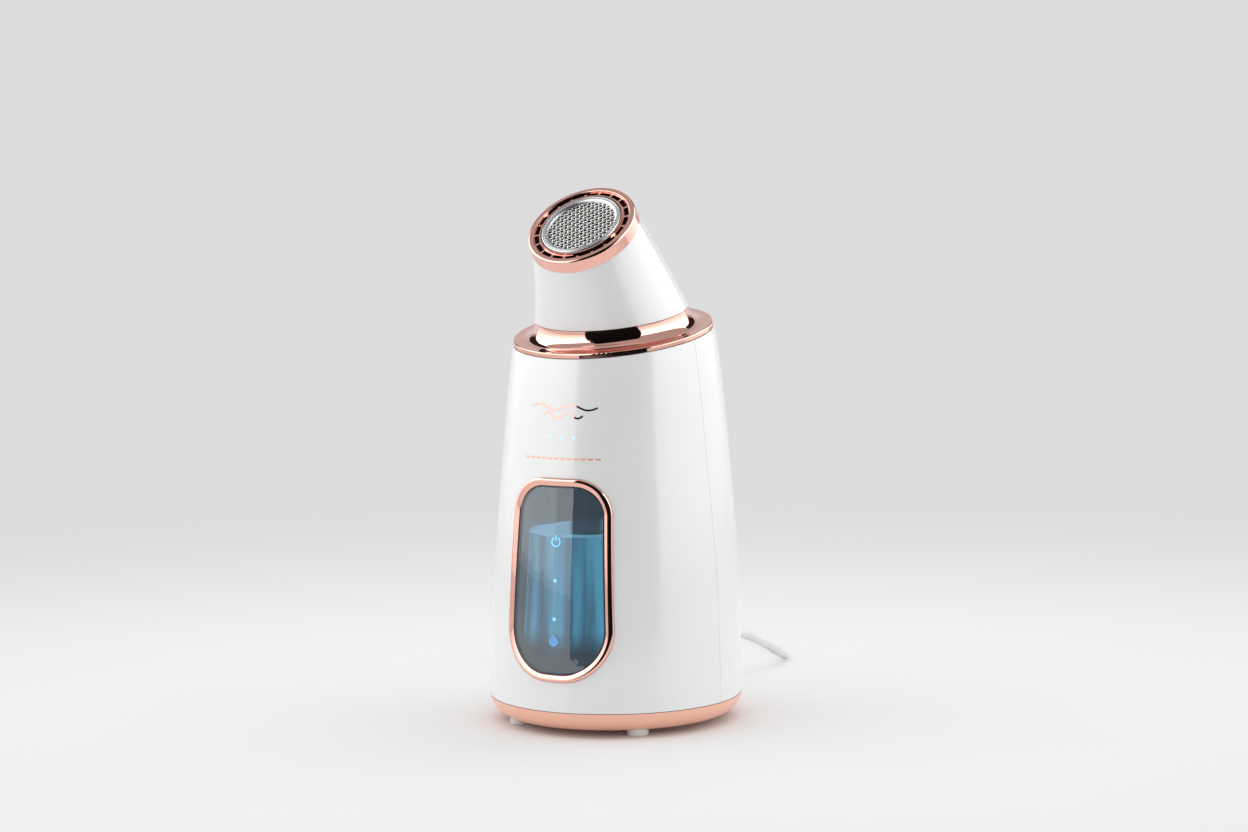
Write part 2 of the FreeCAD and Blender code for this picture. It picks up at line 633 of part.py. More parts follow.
def make_boiler():
    """Boiler cup under the riser, its heater, cut-offs, feed filter and seals."""
    y = "riser_offset"
    cup = turned("boiler", [
        (0, "boiler_bottom"), ("boiler_radius", "boiler_bottom"), ("boiler_radius", 20.4),
        (("boiler_radius", 2.0), 20.4), (("boiler_radius", 2.0), "chassis_bottom"),
        (("boiler_radius", -1.2), "chassis_bottom"),
        (("boiler_radius", -1.2), ("boiler_bottom", 1.2)), (0, ("boiler_bottom", 1.2))])
    put_at(cup, 0, y)
    keep(cup, "boiler_cup")
    heater = turned("heater", [
        (0, "heater_bottom"), (("boiler_radius", -3.0), "heater_bottom"),
        (("boiler_radius", -3.0), ("heater_bottom", 0.8)),
        (("boiler_radius", -1.0), ("heater_bottom", 0.8)),
        (("boiler_radius", -1.0), "boiler_bottom"), (0, "boiler_bottom")])
    put_at(heater, 0, y)
    keep(heater, "heater_plate")
    cutoffs = []
    for index, x in enumerate((-7.0, 7.0)):
        can = cylinder(f"cutoff_can_{index}", 4.0, 7.4, "heater_bottom", x, y)
        cap = cylinder(f"cutoff_cap_{index}", 5.0, ("heater_bottom", -0.8), "heater_bottom", x, y)
        cutoffs.append(fuse(f"cutoff_{index}", [can, cap]))
    keep(group("cutoffs", cutoffs), "thermal_cutoffs")
    riser = turned("riser", [
        ("riser_bore", "chassis_bottom"), ("riser_radius", "chassis_bottom"),
        ("riser_radius", "tank_floor"), (("riser_radius", 3.5), "tank_floor"),
        (("riser_radius", 3.5), ("tank_floor", 2.0)), ("riser_radius", ("tank_floor", 2.0)),
        ("riser_radius", 185), ("riser_bore", 185)])
    put_at(riser, 0, y)
    trim = tilted_block("riser_trim", "collar", "riser_cut", 60)
    keep(cut("riser_trimmed", riser, trim), "steam_riser")
    seal = turned("seal", [
        (("riser_radius", 0.2), "chassis_top"), (("riser_radius", 3.6), "chassis_top"),
        (("riser_radius", 3.6), "tank_bottom"), (("riser_radius", 0.2), "tank_bottom")])
    put_at(seal, 0, y)
    keep(seal, "riser_seal")
    strainer = turned("strainer", [
        (0, "tank_floor"), (1.9, "tank_floor"), (1.9, "tank_bottom"), ("feed_radius", "tank_bottom"),
        ("feed_radius", "chassis_top"), (0, "chassis_top")])
    cap = turned("strainer_cap", [
        (0, "tank_floor"), (3.4, "tank_floor"), (3.4, ("tank_floor", 3.0)),
        (2.6, ("tank_floor", 4.0)), (0, ("tank_floor", 4.0))])
    put_at(strainer, "filter_x", y)
    put_at(cap, "filter_x", y)
    keep(fuse("strainer_whole", [strainer, cap]), "inlet_filter")


def make_mist_unit():
    """Ultrasonic disc with its holder and seal under the tank floor."""
    low = ("chassis_bottom", -7.0)
    holder = turned("holder", [
        (0, low), (("piezo_radius", 2.5), low), (("piezo_radius", 2.5), "chassis_bottom"),
        (("piezo_radius", 0.3), "chassis_bottom"), (("piezo_radius", 0.3), ("chassis_bottom", -5)),
        (0, ("chassis_bottom", -5))])
    disc = turned("disc", [
        (0, ("chassis_bottom", -3.0)), ("piezo_radius", ("chassis_bottom", -3.0)),
        ("piezo_radius", ("chassis_bottom", -1.8)), (0, ("chassis_bottom", -1.8))])
    seal = turned("disc_seal", [
        ("piezo_window", ("chassis_bottom", -1.8)), ("piezo_radius", ("chassis_bottom", -1.8)),
        ("piezo_radius", "chassis_bottom"), ("piezo_window", "chassis_bottom")])
    for body, label in ((holder, "piezo_holder"), (disc, "piezo_disc"), (seal, "piezo_seal")):
        put_at(body, 0, "piezo_offset")
        keep(body, label)


def make_float():
    """Level float on its stem."""
    stem = turned("stem", [
        (0, "tank_floor"), ("float_foot", "tank_floor"), ("float_foot", ("tank_floor", 1.5)),
        ("float_stem", ("tank_floor", 1.5)), ("float_stem", "float_stop"),
        ("float_foot", "float_stop"), ("float_foot", ("float_tip", -1.0)),
        (("float_foot", -1.0), "float_tip"), (0, "float_tip")])
    ring = turned("float_ring", [
        (("float_stem", 0.4), "float_low"), (("float_radius", -1.0), "float_low"),
        ("float_radius", ("float_low", 1.0)), ("float_radius", ("float_high", -1.0)),
        (("float_radius", -1.0), "float_high"), (("float_stem", 0.4), "float_high")])
    for body, label in ((stem, "float_stem"), (ring, "level_float")):
        put_at(body, "float_x", "float_y")
        keep(body, label)


def make_chassis():
    """Plate that carries tank and boiler on the tray's posts."""
    plate = turned("plate", [
        (0, "chassis_bottom"), ("chassis_radius", "chassis_bottom"),
        ("chassis_radius", "chassis_top"), (0, "chassis_top")])
    tools = [
        cylinder("plate_riser_hole", ("riser_radius", 0.2), 20, 30, 0, "riser_offset"),
        cylinder("plate_mist_hole", "piezo_window", 20, 30, 0, "piezo_offset"),
        cylinder("plate_feed_hole", ("feed_radius", 0.05), 20, 30, "filter_x", "riser_offset"),
        box("plate_wire_notch", (-8, 44, 20), (8, 60, 30)),
    ]
    for index, (x, y) in enumerate(post_places()):
        tools.append(cylinder(f"plate_screw_{index}", "screw_radius", 20, 30, x, y))
    keep(cut("plate_cut", plate, fuse("plate_tools", tools)), "chassis_plate")


# ---------------------------------------------------------------- electronics

def make_power_board():
    """Power board on its small posts, with its screws, transformer and capacitors."""
    board = box("power_blank", (("power_half", -46), "power_front", "power_bottom"),
                ("power_half", "power_back", "power_top"))
    holes = []
    screws = []
    for index, (x, y) in enumerate(board_places()):
        holes.append(cylinder(f"board_hole_{index}", 1.15, 8, 12, x, y))
        shank = cylinder(f"board_shank_{index}", 1.05, 7.2, 11.0, x, y)
        head = cylinder(f"board_head_{index}", 2.1, "power_top", ("power_top", 1.3), x, y)
        screws.append(fuse(f"board_screw_{index}", [shank, head]))
    keep(cut("power_drilled", board, fuse("board_holes", holes)), "power_board")
    keep(group("board_screw_group", screws), "board_screws")
    core = box("core", (-14, 34, "power_top"), (2, 46, ("power_top", 8.4)))
    winding = box("winding", (-11.5, 32, ("power_top", 1.4)), (-0.5, 48, ("power_top", 9.8)))
    keep(fuse("transformer_whole", [core, winding]), "transformer")
    cans = []
    for index, (x, y) in enumerate(((8.0, 33.5), (8.0, 44.0), (16.0, 38.5))):
        sleeve = cylinder(f"can_{index}", "can_radius", "power_top", "can_top", x, y)
        rim = cylinder(f"can_rim_{index}", ("can_radius", -0.5), ("can_top", -0.1),
                       ("can_top", 0.6), x, y)
        cans.append(fuse(f"capacitor_{index}", [sleeve, rim]))
    keep(group("cans", cans), "capacitors")


def make_electronics():
    """Power board, upright control board with its chips, and the ion module."""
    make_power_board()
    keep(box("control_blank", (("control_half", -44), "control_front", "control_bottom"),
             ("control_half", "control_back", "control_top")), "control_board")
    chips = [
        box("processor", (-7, ("control_front", -1.6), 84), (7, "control_front", 98)),
        box("driver", (-16, ("control_front", -2.0), 70), (-8, "control_front", 76)),
        box("header", (6, ("control_front", -4.0), 104), (18, "control_front", 110)),
    ]
    keep(group("chips", chips), "control_chips")
    module = box("module", (("module_half", -22), "module_front", "chassis_top"),
                 ("module_half", "module_back", "module_top"))
    lug = box("module_lug", (("module_half", -25), ("module_front", 2), "chassis_top"),
              (("module_half", 3), ("module_back", -2), ("chassis_top", 2.5)))
    keep(fuse("module_whole", [module, lug]), "ion_module")


# ---------------------------------------------------------------- lid

def make_lid():
    """Collar, carrier, plate, gasket, duct seal, bush and clip of the lift-off lid."""
    collar = turned("collar", [
        ("neck_bore", ("carrier_deck", 0.2)), ("flange_radius", ("carrier_deck", 0.2)),
        ("flange_radius", 0), ("neck_radius", 0), ("neck_radius", "neck_top"),
        ("neck_bore", "neck_top")], "collar")
    round_edge(collar, "neck_radius", 0, "trumpet_radius")
    round_edge(collar, "flange_radius", 0, 0.7)
    keep(collar, "collar_ring")
    inner_neck = ("carrier_neck", -1.9)
    carrier = turned("carrier", [
        ("carrier_skirt", "carrier_bottom"), ("carrier_skirt", "carrier_deck"),
        ("carrier_neck", "carrier_deck"), ("carrier_neck", "carrier_top"),
        ("journal_radius", "carrier_top"), ("journal_radius", "journal_top"),
        ("journal_bore", "journal_top"), ("journal_bore", ("carrier_top", -1.9)),
        (inner_neck, ("carrier_top", -1.9)), (inner_neck, ("carrier_deck", -1.9)),
        (("carrier_skirt", -1.9), ("carrier_deck", -1.9)),
        (("carrier_skirt", -1.9), "carrier_bottom")], "collar")
    keep(carrier, "lid_carrier")
    seat_y = duct_place()
    plate = turned("cover", [
        (0, "carrier_bottom"), (("carrier_skirt", -2.0), "carrier_bottom"),
        (("carrier_skirt", -2.0), ("carrier_bottom", 1.8)), (0, ("carrier_bottom", 1.8))],
        "collar")
    hole = seat_rod("cover_hole", "collar", "riser_bore", 20.0, (0, seat_y, -15.0))
    keep(cut("cover_cut", plate, hole), "lid_plate")
    gasket = turned("gasket", [
        (("carrier_skirt", -1.8), "gasket_bottom"), (("carrier_skirt", -0.2), "gasket_bottom"),
        (("carrier_skirt", -0.2), "carrier_bottom"), (("carrier_skirt", -1.8), "carrier_bottom")],
        "collar")
    keep(gasket, "lid_gasket")
    seal = turned("duct", [
        ("riser_bore", "duct_seal_bottom"), (("riser_radius", 1.4), "duct_seal_bottom"),
        (("riser_radius", 2.6), "carrier_bottom"), ("riser_bore", "carrier_bottom")])
    seal.Placement = seat_placement("collar").multiply(
        Placement(Vector(0, seat_y, 0), Rotation()))
    keep(seal, "duct_seal")
    bush = turned("bush", [
        (("journal_radius", 0.1), "carrier_top"), (("carrier_neck", -0.5), "carrier_top"),
        (("carrier_neck", -0.5), ("carrier_top", 0.6)),
        (("journal_radius", 0.1), ("carrier_top", 0.6))], "collar")
    keep(bush, "swivel_bush")
    clip = turned("clip", [
        ("journal_radius", ("journal_top", -1.3)), (("journal_radius", 2.0), ("journal_top", -1.3)),
        (("journal_radius", 2.0), ("journal_top", -0.3)), ("journal_radius", ("journal_top", -0.3))],
        "collar")
    keep(clip, "swivel_clip")


def duct_place():
    """Where the riser's axis meets its cut end, as the collar seat's local Y."""
    tilt = math.radians(size("collar_tilt"))
    rise = size("riser_cut")
    back = size("riser_offset") - size("collar_offset")
    return (back + rise * math.sin(tilt)) / math.cos(tilt)


# ---------------------------------------------------------------- head

def head_section(name, radius_formula, place):
    """A head section at a placement worked out from the two seats."""
    circle = doc.addObject("Part::Circle", name)
    circle.setExpression("Radius", radius_formula)
    circle.Placement = place
    return circle


def head_places():
    """Placements of the head's low, middle and top sections."""
    low = seat_placement("collar").multiply(
        Placement(Vector(0, 0, size("head_bottom")), Rotation()))
    top = seat_placement("nozzle").multiply(
        Placement(Vector(0, 0, size("ring_bottom")), Rotation()))
    middle_base = (low.Base + top.Base) * 0.5 + Vector(0, 0.5, 0)
    middle_tilt = (size("collar_tilt") + size("nozzle_tilt")) / 2
    middle = Placement(middle_base, Rotation(Vector(1, 0, 0), middle_tilt))
    return low, middle, top


def head_loft(name, allowance):
    """The head's skewed cone, grown or shrunk by a formula."""
    circles = []
    for end, place in zip(("low", "mid", "top"), head_places()):
        circles.append(head_section(
            f"{name}_{end}", f"sizes.head_{end}_radius + ({allowance})", place))
    return loft(name, circles)


def make_head():
    """Head shell, its base ring, duct, ionising pin and slotted nozzle ring."""
    outer = head_loft("head_outer", "0")
    inner = head_loft("head_inner", "-sizes.head_wall")
    keep(cut("head_wall_cut", outer, inner), "head_shell")
    base = turned("head_base_blank", [
        (("journal_radius", 0.06), ("carrier_top", 0.9)), (40, ("carrier_top", 0.9)),
        (40, ("carrier_top", 3.7)), (("journal_radius", 0.06), ("carrier_top", 3.7))], "collar")
    keep(common("head_base_trimmed", base, inner), "head_base")

    make_nozzle_ring()
    make_duct()


def seat_block(name, seat, x, y, turn, low):
    """A box lying in a tilted seat, centred on a place, with its underside at a height."""
    block = doc.addObject("Part::Box", name)
    block.setExpression("Length", "sizes.slot_length")
    block.setExpression("Width", "sizes.slot_width")
    block.Height = 9.0
    corner = Vector(-size("slot_length") / 2, -size("slot_width") / 2, low)
    block.Placement = seat_placement(seat).multiply(
        Placement(Vector(x, y, 0), Rotation(Vector(0, 0, 1), turn))).multiply(
        Placement(corner, Rotation()))
    return block


def seat_rod(name, seat, radius, height, place, tilt=0.0):
    """A cylinder standing in a tilted seat."""
    rod = doc.addObject("Part::Cylinder", name)
    rod.setExpression("Radius", formula(radius))
    rod.Height = height
    rod.Placement = seat_placement(seat).multiply(
        Placement(Vector(*place), Rotation(Vector(1, 0, 0), tilt)))
    return rod


def make_nozzle_ring():
    """Slotted ring round the outlet, and the dark ring behind its slots."""
    ring = turned("nozzle_ring", [
        ("ring_bore", "ring_bottom"), ("ring_low_radius", "ring_bottom"),
        ("ring_radius", 0), ("ring_channel_out", 0), ("ring_channel_out", "ring_channel"),
        ("ring_channel_in", "ring_channel"), ("ring_channel_in", "ring_inner_lip"),
        ("ring_bore", "ring_inner_lip")], "nozzle")
    round_edge(ring, "ring_radius", 0, "lip_round")
    round_edge(ring, "ring_channel_out", 0, "lip_inner_round")
    slots = []
    for index, (x, y) in enumerate(around(int(size("slot_count")), size("slot_circle"), 9.0)):
        turn = math.degrees(math.atan2(y, x)) + 90.0
        slots.append(seat_block(f"slot_{index}", "nozzle", x, y, turn, -8.0))
    keep(cut("nozzle_ring_slotted", ring, fuse("slots", slots)), "head_ring")
    backing = turned("backing", [
        ("backing_bore", "backing_bottom"), ("backing_radius", "backing_bottom"),
        ("backing_radius", "ring_bottom"), ("backing_step", "ring_bottom"),
        ("backing_step", ("backing_bottom", 1.2)), ("backing_bore", ("backing_bottom", 1.2))],
        "nozzle")
    keep(backing, "slot_backing")


def make_duct():
    """Steam duct inside the head and the ionising pin that stands in it."""
    low, middle, top = head_places()
    lift = Placement(Vector(0, 0, size("duct_lift")), Rotation())
    drop = Placement(Vector(0, 0, size("duct_drop")), Rotation())
    places = (("low", low.multiply(lift)), ("mid", middle), ("top", top.multiply(drop)))
    shapes = []
    for name, wall in (("duct_out", "0"), ("duct_in", "-sizes.duct_wall")):
        circles = []
        for end, place in places:
            radius = f"sizes.duct_{end}_radius + ({wall})"
            circles.append(head_section(f"{name}_{end}", radius, place))
        shapes.append(loft(name, circles))
    keep(cut("duct_shell", shapes[0], shapes[1]), "nozzle_duct")
    pin = turned("pin", [(0, -26), (2.2, -26), (2.2, -22), (0.8, -22), (0.8, -15), (0, -12.5)])
    pin.Placement = seat_placement("nozzle").multiply(
        Placement(Vector(0, size("pin_y"), 0), Rotation()))
    stalk = seat_rod("stalk", "nozzle", 1.2, 16.0, (0, size("pin_y"), -24.0), -90)
    whole_pin = fuse("pin_whole", [pin, stalk])
    keep(common("pin_trimmed", whole_pin, shapes[1]), "ionizer_pin")


def screen_places():
    """Centres of the screen's holes: a square lattice turned in the outlet."""
    pitch = size("screen_pitch")
    turn = math.radians(size("screen_turn"))
    reach = size("cap_opening") - size("screen_hole") - 0.4
    count = int(reach / pitch) + 1
    for column in range(-count, count + 1):
        for row in range(-count, count + 1):
            if math.hypot(column, row) * pitch <= reach:
                yield (pitch * (column * math.cos(turn) - row * math.sin(turn)),
                       pitch * (column * math.sin(turn) + row * math.cos(turn)))


def make_cap():
    """Lift-out outlet cap: frame, screen, aroma basket and felt pad."""
    frame = turned("cap_frame", [
        ("screen_radius", "cap_bottom"), ("cap_radius", "cap_bottom"),
        ("cap_radius", ("cap_top", -1.1)), (("cap_radius", -0.3), ("cap_top", -0.4)),
        (("cap_radius", -1.0), "cap_top"), (("cap_opening", 1.6), "cap_top"),
        (("cap_opening", 0.6), ("cap_top", -0.4)), ("cap_opening", ("cap_top", -1.1)),
        ("cap_opening", "screen_top"), ("screen_radius", "screen_top")], "nozzle")
    keep(frame, "mesh_frame")
    disc = turned("screen", [
        (0, "screen_bottom"), ("screen_radius", "screen_bottom"),
        ("screen_radius", "screen_top"), (0, "screen_top")], "nozzle")
    holes = []
    for index, (x, y) in enumerate(screen_places()):
        holes.append(seat_rod(f"screen_hole_{index}", "nozzle", "screen_hole", 3.0, (x, y, -3.0)))
    keep(cut("screen_pierced", disc, group("screen_holes", holes)), "mesh_screen")
    wall = size("basket_wall")
    inner_radius = ("basket_radius", -wall)
    inner_bore = ("basket_bore", wall)
    floor = ("basket_bottom", wall)
    basket = turned("basket", [
        ("basket_bore", "basket_bottom"), ("basket_radius", "basket_bottom"),
        ("basket_radius", "cap_bottom"), ("basket_flange", "cap_bottom"),
        ("basket_flange", "basket_top"), (inner_radius, "basket_top"), (inner_radius, floor),
        (inner_bore, floor), (inner_bore, ("basket_top", -0.5)),
        ("basket_bore", ("basket_top", -0.5))], "nozzle")
    keep(basket, "aroma_basket")
    pad_in = ("basket_bore", wall + size("pad_gap"))
    pad_out = ("basket_radius", -wall - size("pad_gap"))
    pad = turned("pad", [(pad_in, floor), (pad_out, floor), (pad_out, "pad_top"),
                         (pad_in, "pad_top")], "nozzle")
    keep(pad, "aroma_pad")


# ---------------------------------------------------------------- mains lead

def bent_path(points):
    """Straight runs joined by tangent arcs, with the radius of each arc."""
    corners = [Vector(*point) for point in points]
    edges = []
    radii = []
    start = corners[0]
    for before, corner, after in zip(corners, corners[1:], corners[2:]):
        run_in = corner - before
        run_out = after - corner
        turn = run_in.getAngle(run_out)
        setback = 0.45 * min(run_in.Length, run_out.Length)
        radii.append(setback / math.tan(turn / 2))
        inward = Vector(run_in).normalize()
        outward = Vector(run_out).normalize()
        arc_start = corner - inward * setback
        arc_end = corner + outward * setback
        bisector = (outward - inward).normalize()
        rise = radii[-1] / math.cos(turn / 2) - radii[-1]
        middle = corner + bisector * rise
        edges.append(Part.LineSegment(start, arc_start).toShape())
        edges.append(Part.Arc(arc_start, middle, arc_end).toShape())
        start = arc_end
    edges.append(Part.LineSegment(start, corners[-1]).toShape())
    return Part.Wire(edges), radii


def lead_tube(name, label, points):
    """A plain tube of the lead's diameter along a route."""
    path, radii = bent_path(points)
    radius = size("cord_diameter") / 2
    first = path.Edges[0]
    heading = first.tangentAt(first.FirstParameter)
    profile = Part.Wire(Part.makeCircle(radius, Vector(*points[0]), heading))
    tube = path.makePipeShell([profile], True, False)
    thing = doc.addObject("Part::Feature", name)
    thing.Shape = tube
    expected = math.pi * radius ** 2 * path.Length
    print(f"{label}: length {path.Length:.1f} mm, volume ratio {tube.Volume / expected:.4f}")
    print("  radii", " ".join(f"{value:.0f}" for value in radii))
    keep(thing, label)


def make_lead():
    """Strain relief, lead, coil and plug."""
    relief = turned("relief", [
        (0, -5.0), (6.2, -5.0), (6.2, -3.0), (("relief_hole", -0.1), -3.0),
        (("relief_hole", -0.1), 0.3), (6.4, 0.3), (6.4, 2.0), (4.6, 3.0),
        (3.0, "relief_length"), (0, "relief_length")])
    relief.Placement = Placement(Vector(0, size("exit_wall"), size("exit_height")),
                                 Rotation(Vector(1, 0, 0), -90))
    relief.setExpression("Placement.Base.y", "sizes.exit_wall")
    relief.setExpression("Placement.Base.z", "sizes.exit_height")
    keep(relief, "strain_relief")
    lead_tube("lead_tube", "power_cord", LEAD_ROUTE)
    lead_tube("plug_tube", "plug_lead", PLUG_ROUTE)
    inside = ("coil_middle", -size("coil_half_width"))
    outside = ("coil_middle", size("coil_half_width"))
    coil = turned("coil", [
        ((inside[0], inside[1] + 1.0), 0), ((outside[0], outside[1] - 1.0), 0),
        (outside, 1.0), (outside, ("coil_thickness", -3.0)),
        ((outside[0], outside[1] - 3.0), "coil_thickness"),
        ((inside[0], inside[1] + 3.0), "coil_thickness"),
        (inside, ("coil_thickness", -3.0)), (inside, 1.0)])
    put_at(coil, "coil_x", "coil_y")
    keep(coil, "cord_coil")
    make_plug()


def make_plug():
    """Two-pin mains plug lying at the end of the lead."""
    length = size("plug_length")
    half_width = size("plug_width") / 2
    half_height = size("plug_height") / 2
    end = Vector(*PLUG_ROUTE[-1])
    seat = Placement(end, Rotation(Vector(0, 0, 1), PLUG_HEADING))
    body = doc.addObject("PartDesign::Body", "plug")
    sketch = polygon_sketch(body, "XY_Plane", "plug_outline", [
        (0, 3.2), (6.0, 4.0), (11.0, half_width), (length, half_width),
        (length, -half_width), (11.0, -half_width), (6.0, -4.0), (0, -3.2)])
    pad = body.newObject("PartDesign::Pad", "plug_pad")
    pad.Profile = sketch
    pad.Length = 2 * half_height
    pad.Midplane = True
    body.Placement = seat
    doc.recompute()
    names = []
    for index, edge in enumerate(pad.Shape.Edges, start=1):
        spans_height = edge.BoundBox.ZLength > 2 * half_height - 0.1
        if spans_height and edge.BoundBox.XMin > length - 0.1:
            names.append(f"Edge{index}")
    fillet = body.newObject("PartDesign::Fillet", "plug_round")
    fillet.Base = (pad, names)
    fillet.Radius = size("plug_round")
    fillet.setExpression("Radius", "sizes.plug_round")
    body.Tip = fillet
    keep(body, "plug_body")
    pins = []
    for index, side in enumerate((-1, 1)):
        pin = doc.addObject("Part::Box", f"plug_pin_{index}")
        for side_name, alias in (("Length", "pin_length"), ("Width", "pin_thickness"),
                                 ("Height", "pin_width")):
            pin.setExpression(side_name, f"sizes.{alias}")
        across = (side * size("pin_spacing") - size("pin_thickness")) / 2
        corner = Vector(length, across, -size("pin_width") / 2)
        pin.Placement = seat.multiply(Placement(corner, Rotation()))
        pins.append(pin)
    keep(group("plug_pin_group", pins), "plug_pins")


# ---------------------------------------------------------------- check and export

def check_document():
    """Stop if any object failed or any sub-part has no valid shape."""
    for thing in doc.Objects:
        if "Invalid" in thing.State or "Error" in thing.State:
            raise RuntimeError(f"{thing.Name} failed: {thing.State}")
    for thing in nodes:
        if thing.Shape.isNull() or not thing.Shape.isValid():
            raise RuntimeError(f"{thing.Label} has no valid shape")
        if not thing.Shape.Solids:
            raise RuntimeError(f"{thing.Label} holds no solid")


def export_parts():
    """Write one STEP file per sub-part."""
    os.makedirs("parts", exist_ok=True)
    for thing in nodes:
        thing.Shape.exportStep(f"parts/{thing.Label}.step")
        limits = thing.Shape.BoundBox
        print(f"{thing.Label:18s} solids {len(thing.Shape.Solids)} "
              f"volume {thing.Shape.Volume:10.1f} "
              f"z {limits.ZMin:7.2f} to {limits.ZMax:7.2f}")


def main():
    """Build, check and write the whole machine."""
    fill_sheet()
    make_base()
    make_housing()
    make_chassis()
    make_tank()
    make_boiler()
    make_mist_unit()
    make_float()
    make_electronics()
    make_lid()
    make_head()
    make_cap()
    make_lead()
    doc.recompute()
    check_document()
    export_parts()
    print(f"{len(nodes)} nodes")


main()
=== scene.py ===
import math

import bmesh
import bpy
from mathutils import Matrix, Vector
from mathutils.bvhtree import BVHTree


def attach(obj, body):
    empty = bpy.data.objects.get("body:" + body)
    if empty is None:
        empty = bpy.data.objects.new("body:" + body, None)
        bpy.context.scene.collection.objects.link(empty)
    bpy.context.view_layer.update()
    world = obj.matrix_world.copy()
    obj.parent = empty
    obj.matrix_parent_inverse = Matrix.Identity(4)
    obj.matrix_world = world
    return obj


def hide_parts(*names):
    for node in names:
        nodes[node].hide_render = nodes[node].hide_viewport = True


# Looks of a desktop facial steamer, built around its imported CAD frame. Metres, +Z up,
# the front of the machine faces -Y. MM turns millimetres into metres.

MM = 0.001
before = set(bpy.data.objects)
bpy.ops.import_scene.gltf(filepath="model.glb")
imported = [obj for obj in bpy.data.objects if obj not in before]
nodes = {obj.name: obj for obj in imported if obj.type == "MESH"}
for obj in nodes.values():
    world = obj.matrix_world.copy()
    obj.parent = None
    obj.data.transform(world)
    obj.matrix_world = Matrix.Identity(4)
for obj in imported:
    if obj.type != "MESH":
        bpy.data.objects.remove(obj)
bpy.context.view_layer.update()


# ------------------------------------------------------------------ camera

CAMERA_AZIMUTH = math.radians(29.3)
CAMERA_DISTANCE = 1.444
CAMERA_HEIGHT = 0.287
CAMERA_PITCH = math.radians(5.42)
CAMERA_YAW = math.radians(-0.23)
CAMERA_ROLL = math.radians(-0.81)
CAMERA_LENS = 84.55


def make_camera():
    """A long lens slightly above the collar, looking a little down."""
    heading = CAMERA_AZIMUTH + CAMERA_YAW
    forward = Vector((-math.sin(heading) * math.cos(CAMERA_PITCH),
                      math.cos(heading) * math.cos(CAMERA_PITCH),
                      -math.sin(CAMERA_PITCH)))
    level = forward.cross(Vector((0, 0, 1))).normalized()
    upright = level.cross(forward)
    right = level * math.cos(CAMERA_ROLL) + upright * math.sin(CAMERA_ROLL)
    up = upright * math.cos(CAMERA_ROLL) - level * math.sin(CAMERA_ROLL)
    data = bpy.data.cameras.new("camera")
    data.lens = CAMERA_LENS
    data.clip_start = 0.05
    data.clip_end = 200.0
    camera = bpy.data.objects.new("camera", data)
    turn = Matrix((right, up, -forward)).transposed()
    camera.matrix_world = turn.to_4x4()
    camera.location = (CAMERA_DISTANCE * math.sin(CAMERA_AZIMUTH),
                       -CAMERA_DISTANCE * math.cos(CAMERA_AZIMUTH), CAMERA_HEIGHT)
    bpy.context.collection.objects.link(camera)
    bpy.context.scene.camera = camera


make_camera()


# ------------------------------------------------------------------ mains lead

LEAD_DIAMETER = 0.0044
LEAD_RADIUS = LEAD_DIAMETER / 2
COIL_CENTRE = (-52.0, 97.0)
COIL_INSIDE = 19.0
COIL_PITCH_LOW = 4.4
COIL_PITCH_HIGH = 5.08
COIL_TURNS_LOW = 3.0
COIL_TURNS = 5.375
ROW_LOW = 2.3
ROW_HIGH = 6.9

# The lead's path from the strain relief to the coil, in millimetres.
LEAD_ROUTE = (
    (0.0, 68.0, 26.0), (0.0, 86.6, 26.0), (2.2, 101.5, 25.8), (4.7, 115.5, 24.7),
    (7.3, 128.5, 21.9), (9.9, 141.0, 17.0), (12.2, 153.2, 11.2), (11.6, 164.2, 6.3),
    (9.1, 174.8, 3.1), (3.6, 183.2, 2.3), (-6.2, 193.6, 2.3), (-17.6, 207.0, 2.3),
    (-30.4, 219.8, 2.3), (-43.0, 230.2, 2.3), (-57.5, 238.0, 2.3), (-73.5, 240.5, 2.3),
    (-88.5, 234.0, 2.3), (-97.5, 220.5, 2.3), (-98.0, 204.0, 2.3), (-89.5, 190.0, 2.3),
    (-75.0, 181.5, 2.3), (-58.5, 174.5, 2.3), (-44.0, 164.5, 2.3), (-32.5, 151.0, 2.3),
    (-24.2, 134.5, 2.3), (-20.8, 116.0, 2.3),
)
PLUG_ROUTE = ((-83.0, 85.0, 5.2), (-91.5, 93.0, 5.6), (-100.0, 100.0, 7.2))


def coil_turns():
    """Coil points: three turns inwards on the table, then two and a bit outwards on top."""
    steps = 24
    places = []
    for step in range(round(COIL_TURNS * steps) + 1):
        turns = step / steps
        climb = min(1.0, max(0.0, (turns - COIL_TURNS_LOW + 0.2) / 0.4))
        height = ROW_LOW + (ROW_HIGH - ROW_LOW) * climb * climb * (3 - 2 * climb)
        radius = COIL_INSIDE + COIL_PITCH_LOW * max(0.0, COIL_TURNS_LOW - turns)
        radius += COIL_PITCH_HIGH * max(0.0, turns - COIL_TURNS_LOW - 0.2)
        angle = -2 * math.pi * turns
        places.append((COIL_CENTRE[0] + radius * math.cos(angle),
                       COIL_CENTRE[1] + radius * math.sin(angle), height))
    return places


def make_lead():
    """The mains lead as one curve from the strain relief to the plug."""
    curve = bpy.data.curves.new("mains_lead", "CURVE")
    curve.dimensions = "3D"
    curve.bevel_depth = 1.0
    curve.bevel_resolution = 5
    curve.resolution_u = 6
    curve.use_fill_caps = True
    spline = curve.splines.new("NURBS")
    points = list(LEAD_ROUTE) + coil_turns() + list(PLUG_ROUTE)
    spline.points.add(len(points) - 1)
    for point, place in zip(spline.points, points):
        point.co = (place[0] * MM, place[1] * MM, place[2] * MM, 1.0)
        point.radius = LEAD_RADIUS
    spline.order_u = 3
    spline.use_endpoint_u = True
    made = bpy.data.objects.new("mains_lead", curve)
    bpy.context.collection.objects.link(made)
    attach(made, "housing")
    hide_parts("power_cord", "cord_coil", "plug_lead")
    return made


lead = make_lead()


# ------------------------------------------------------------------ seats and meshes

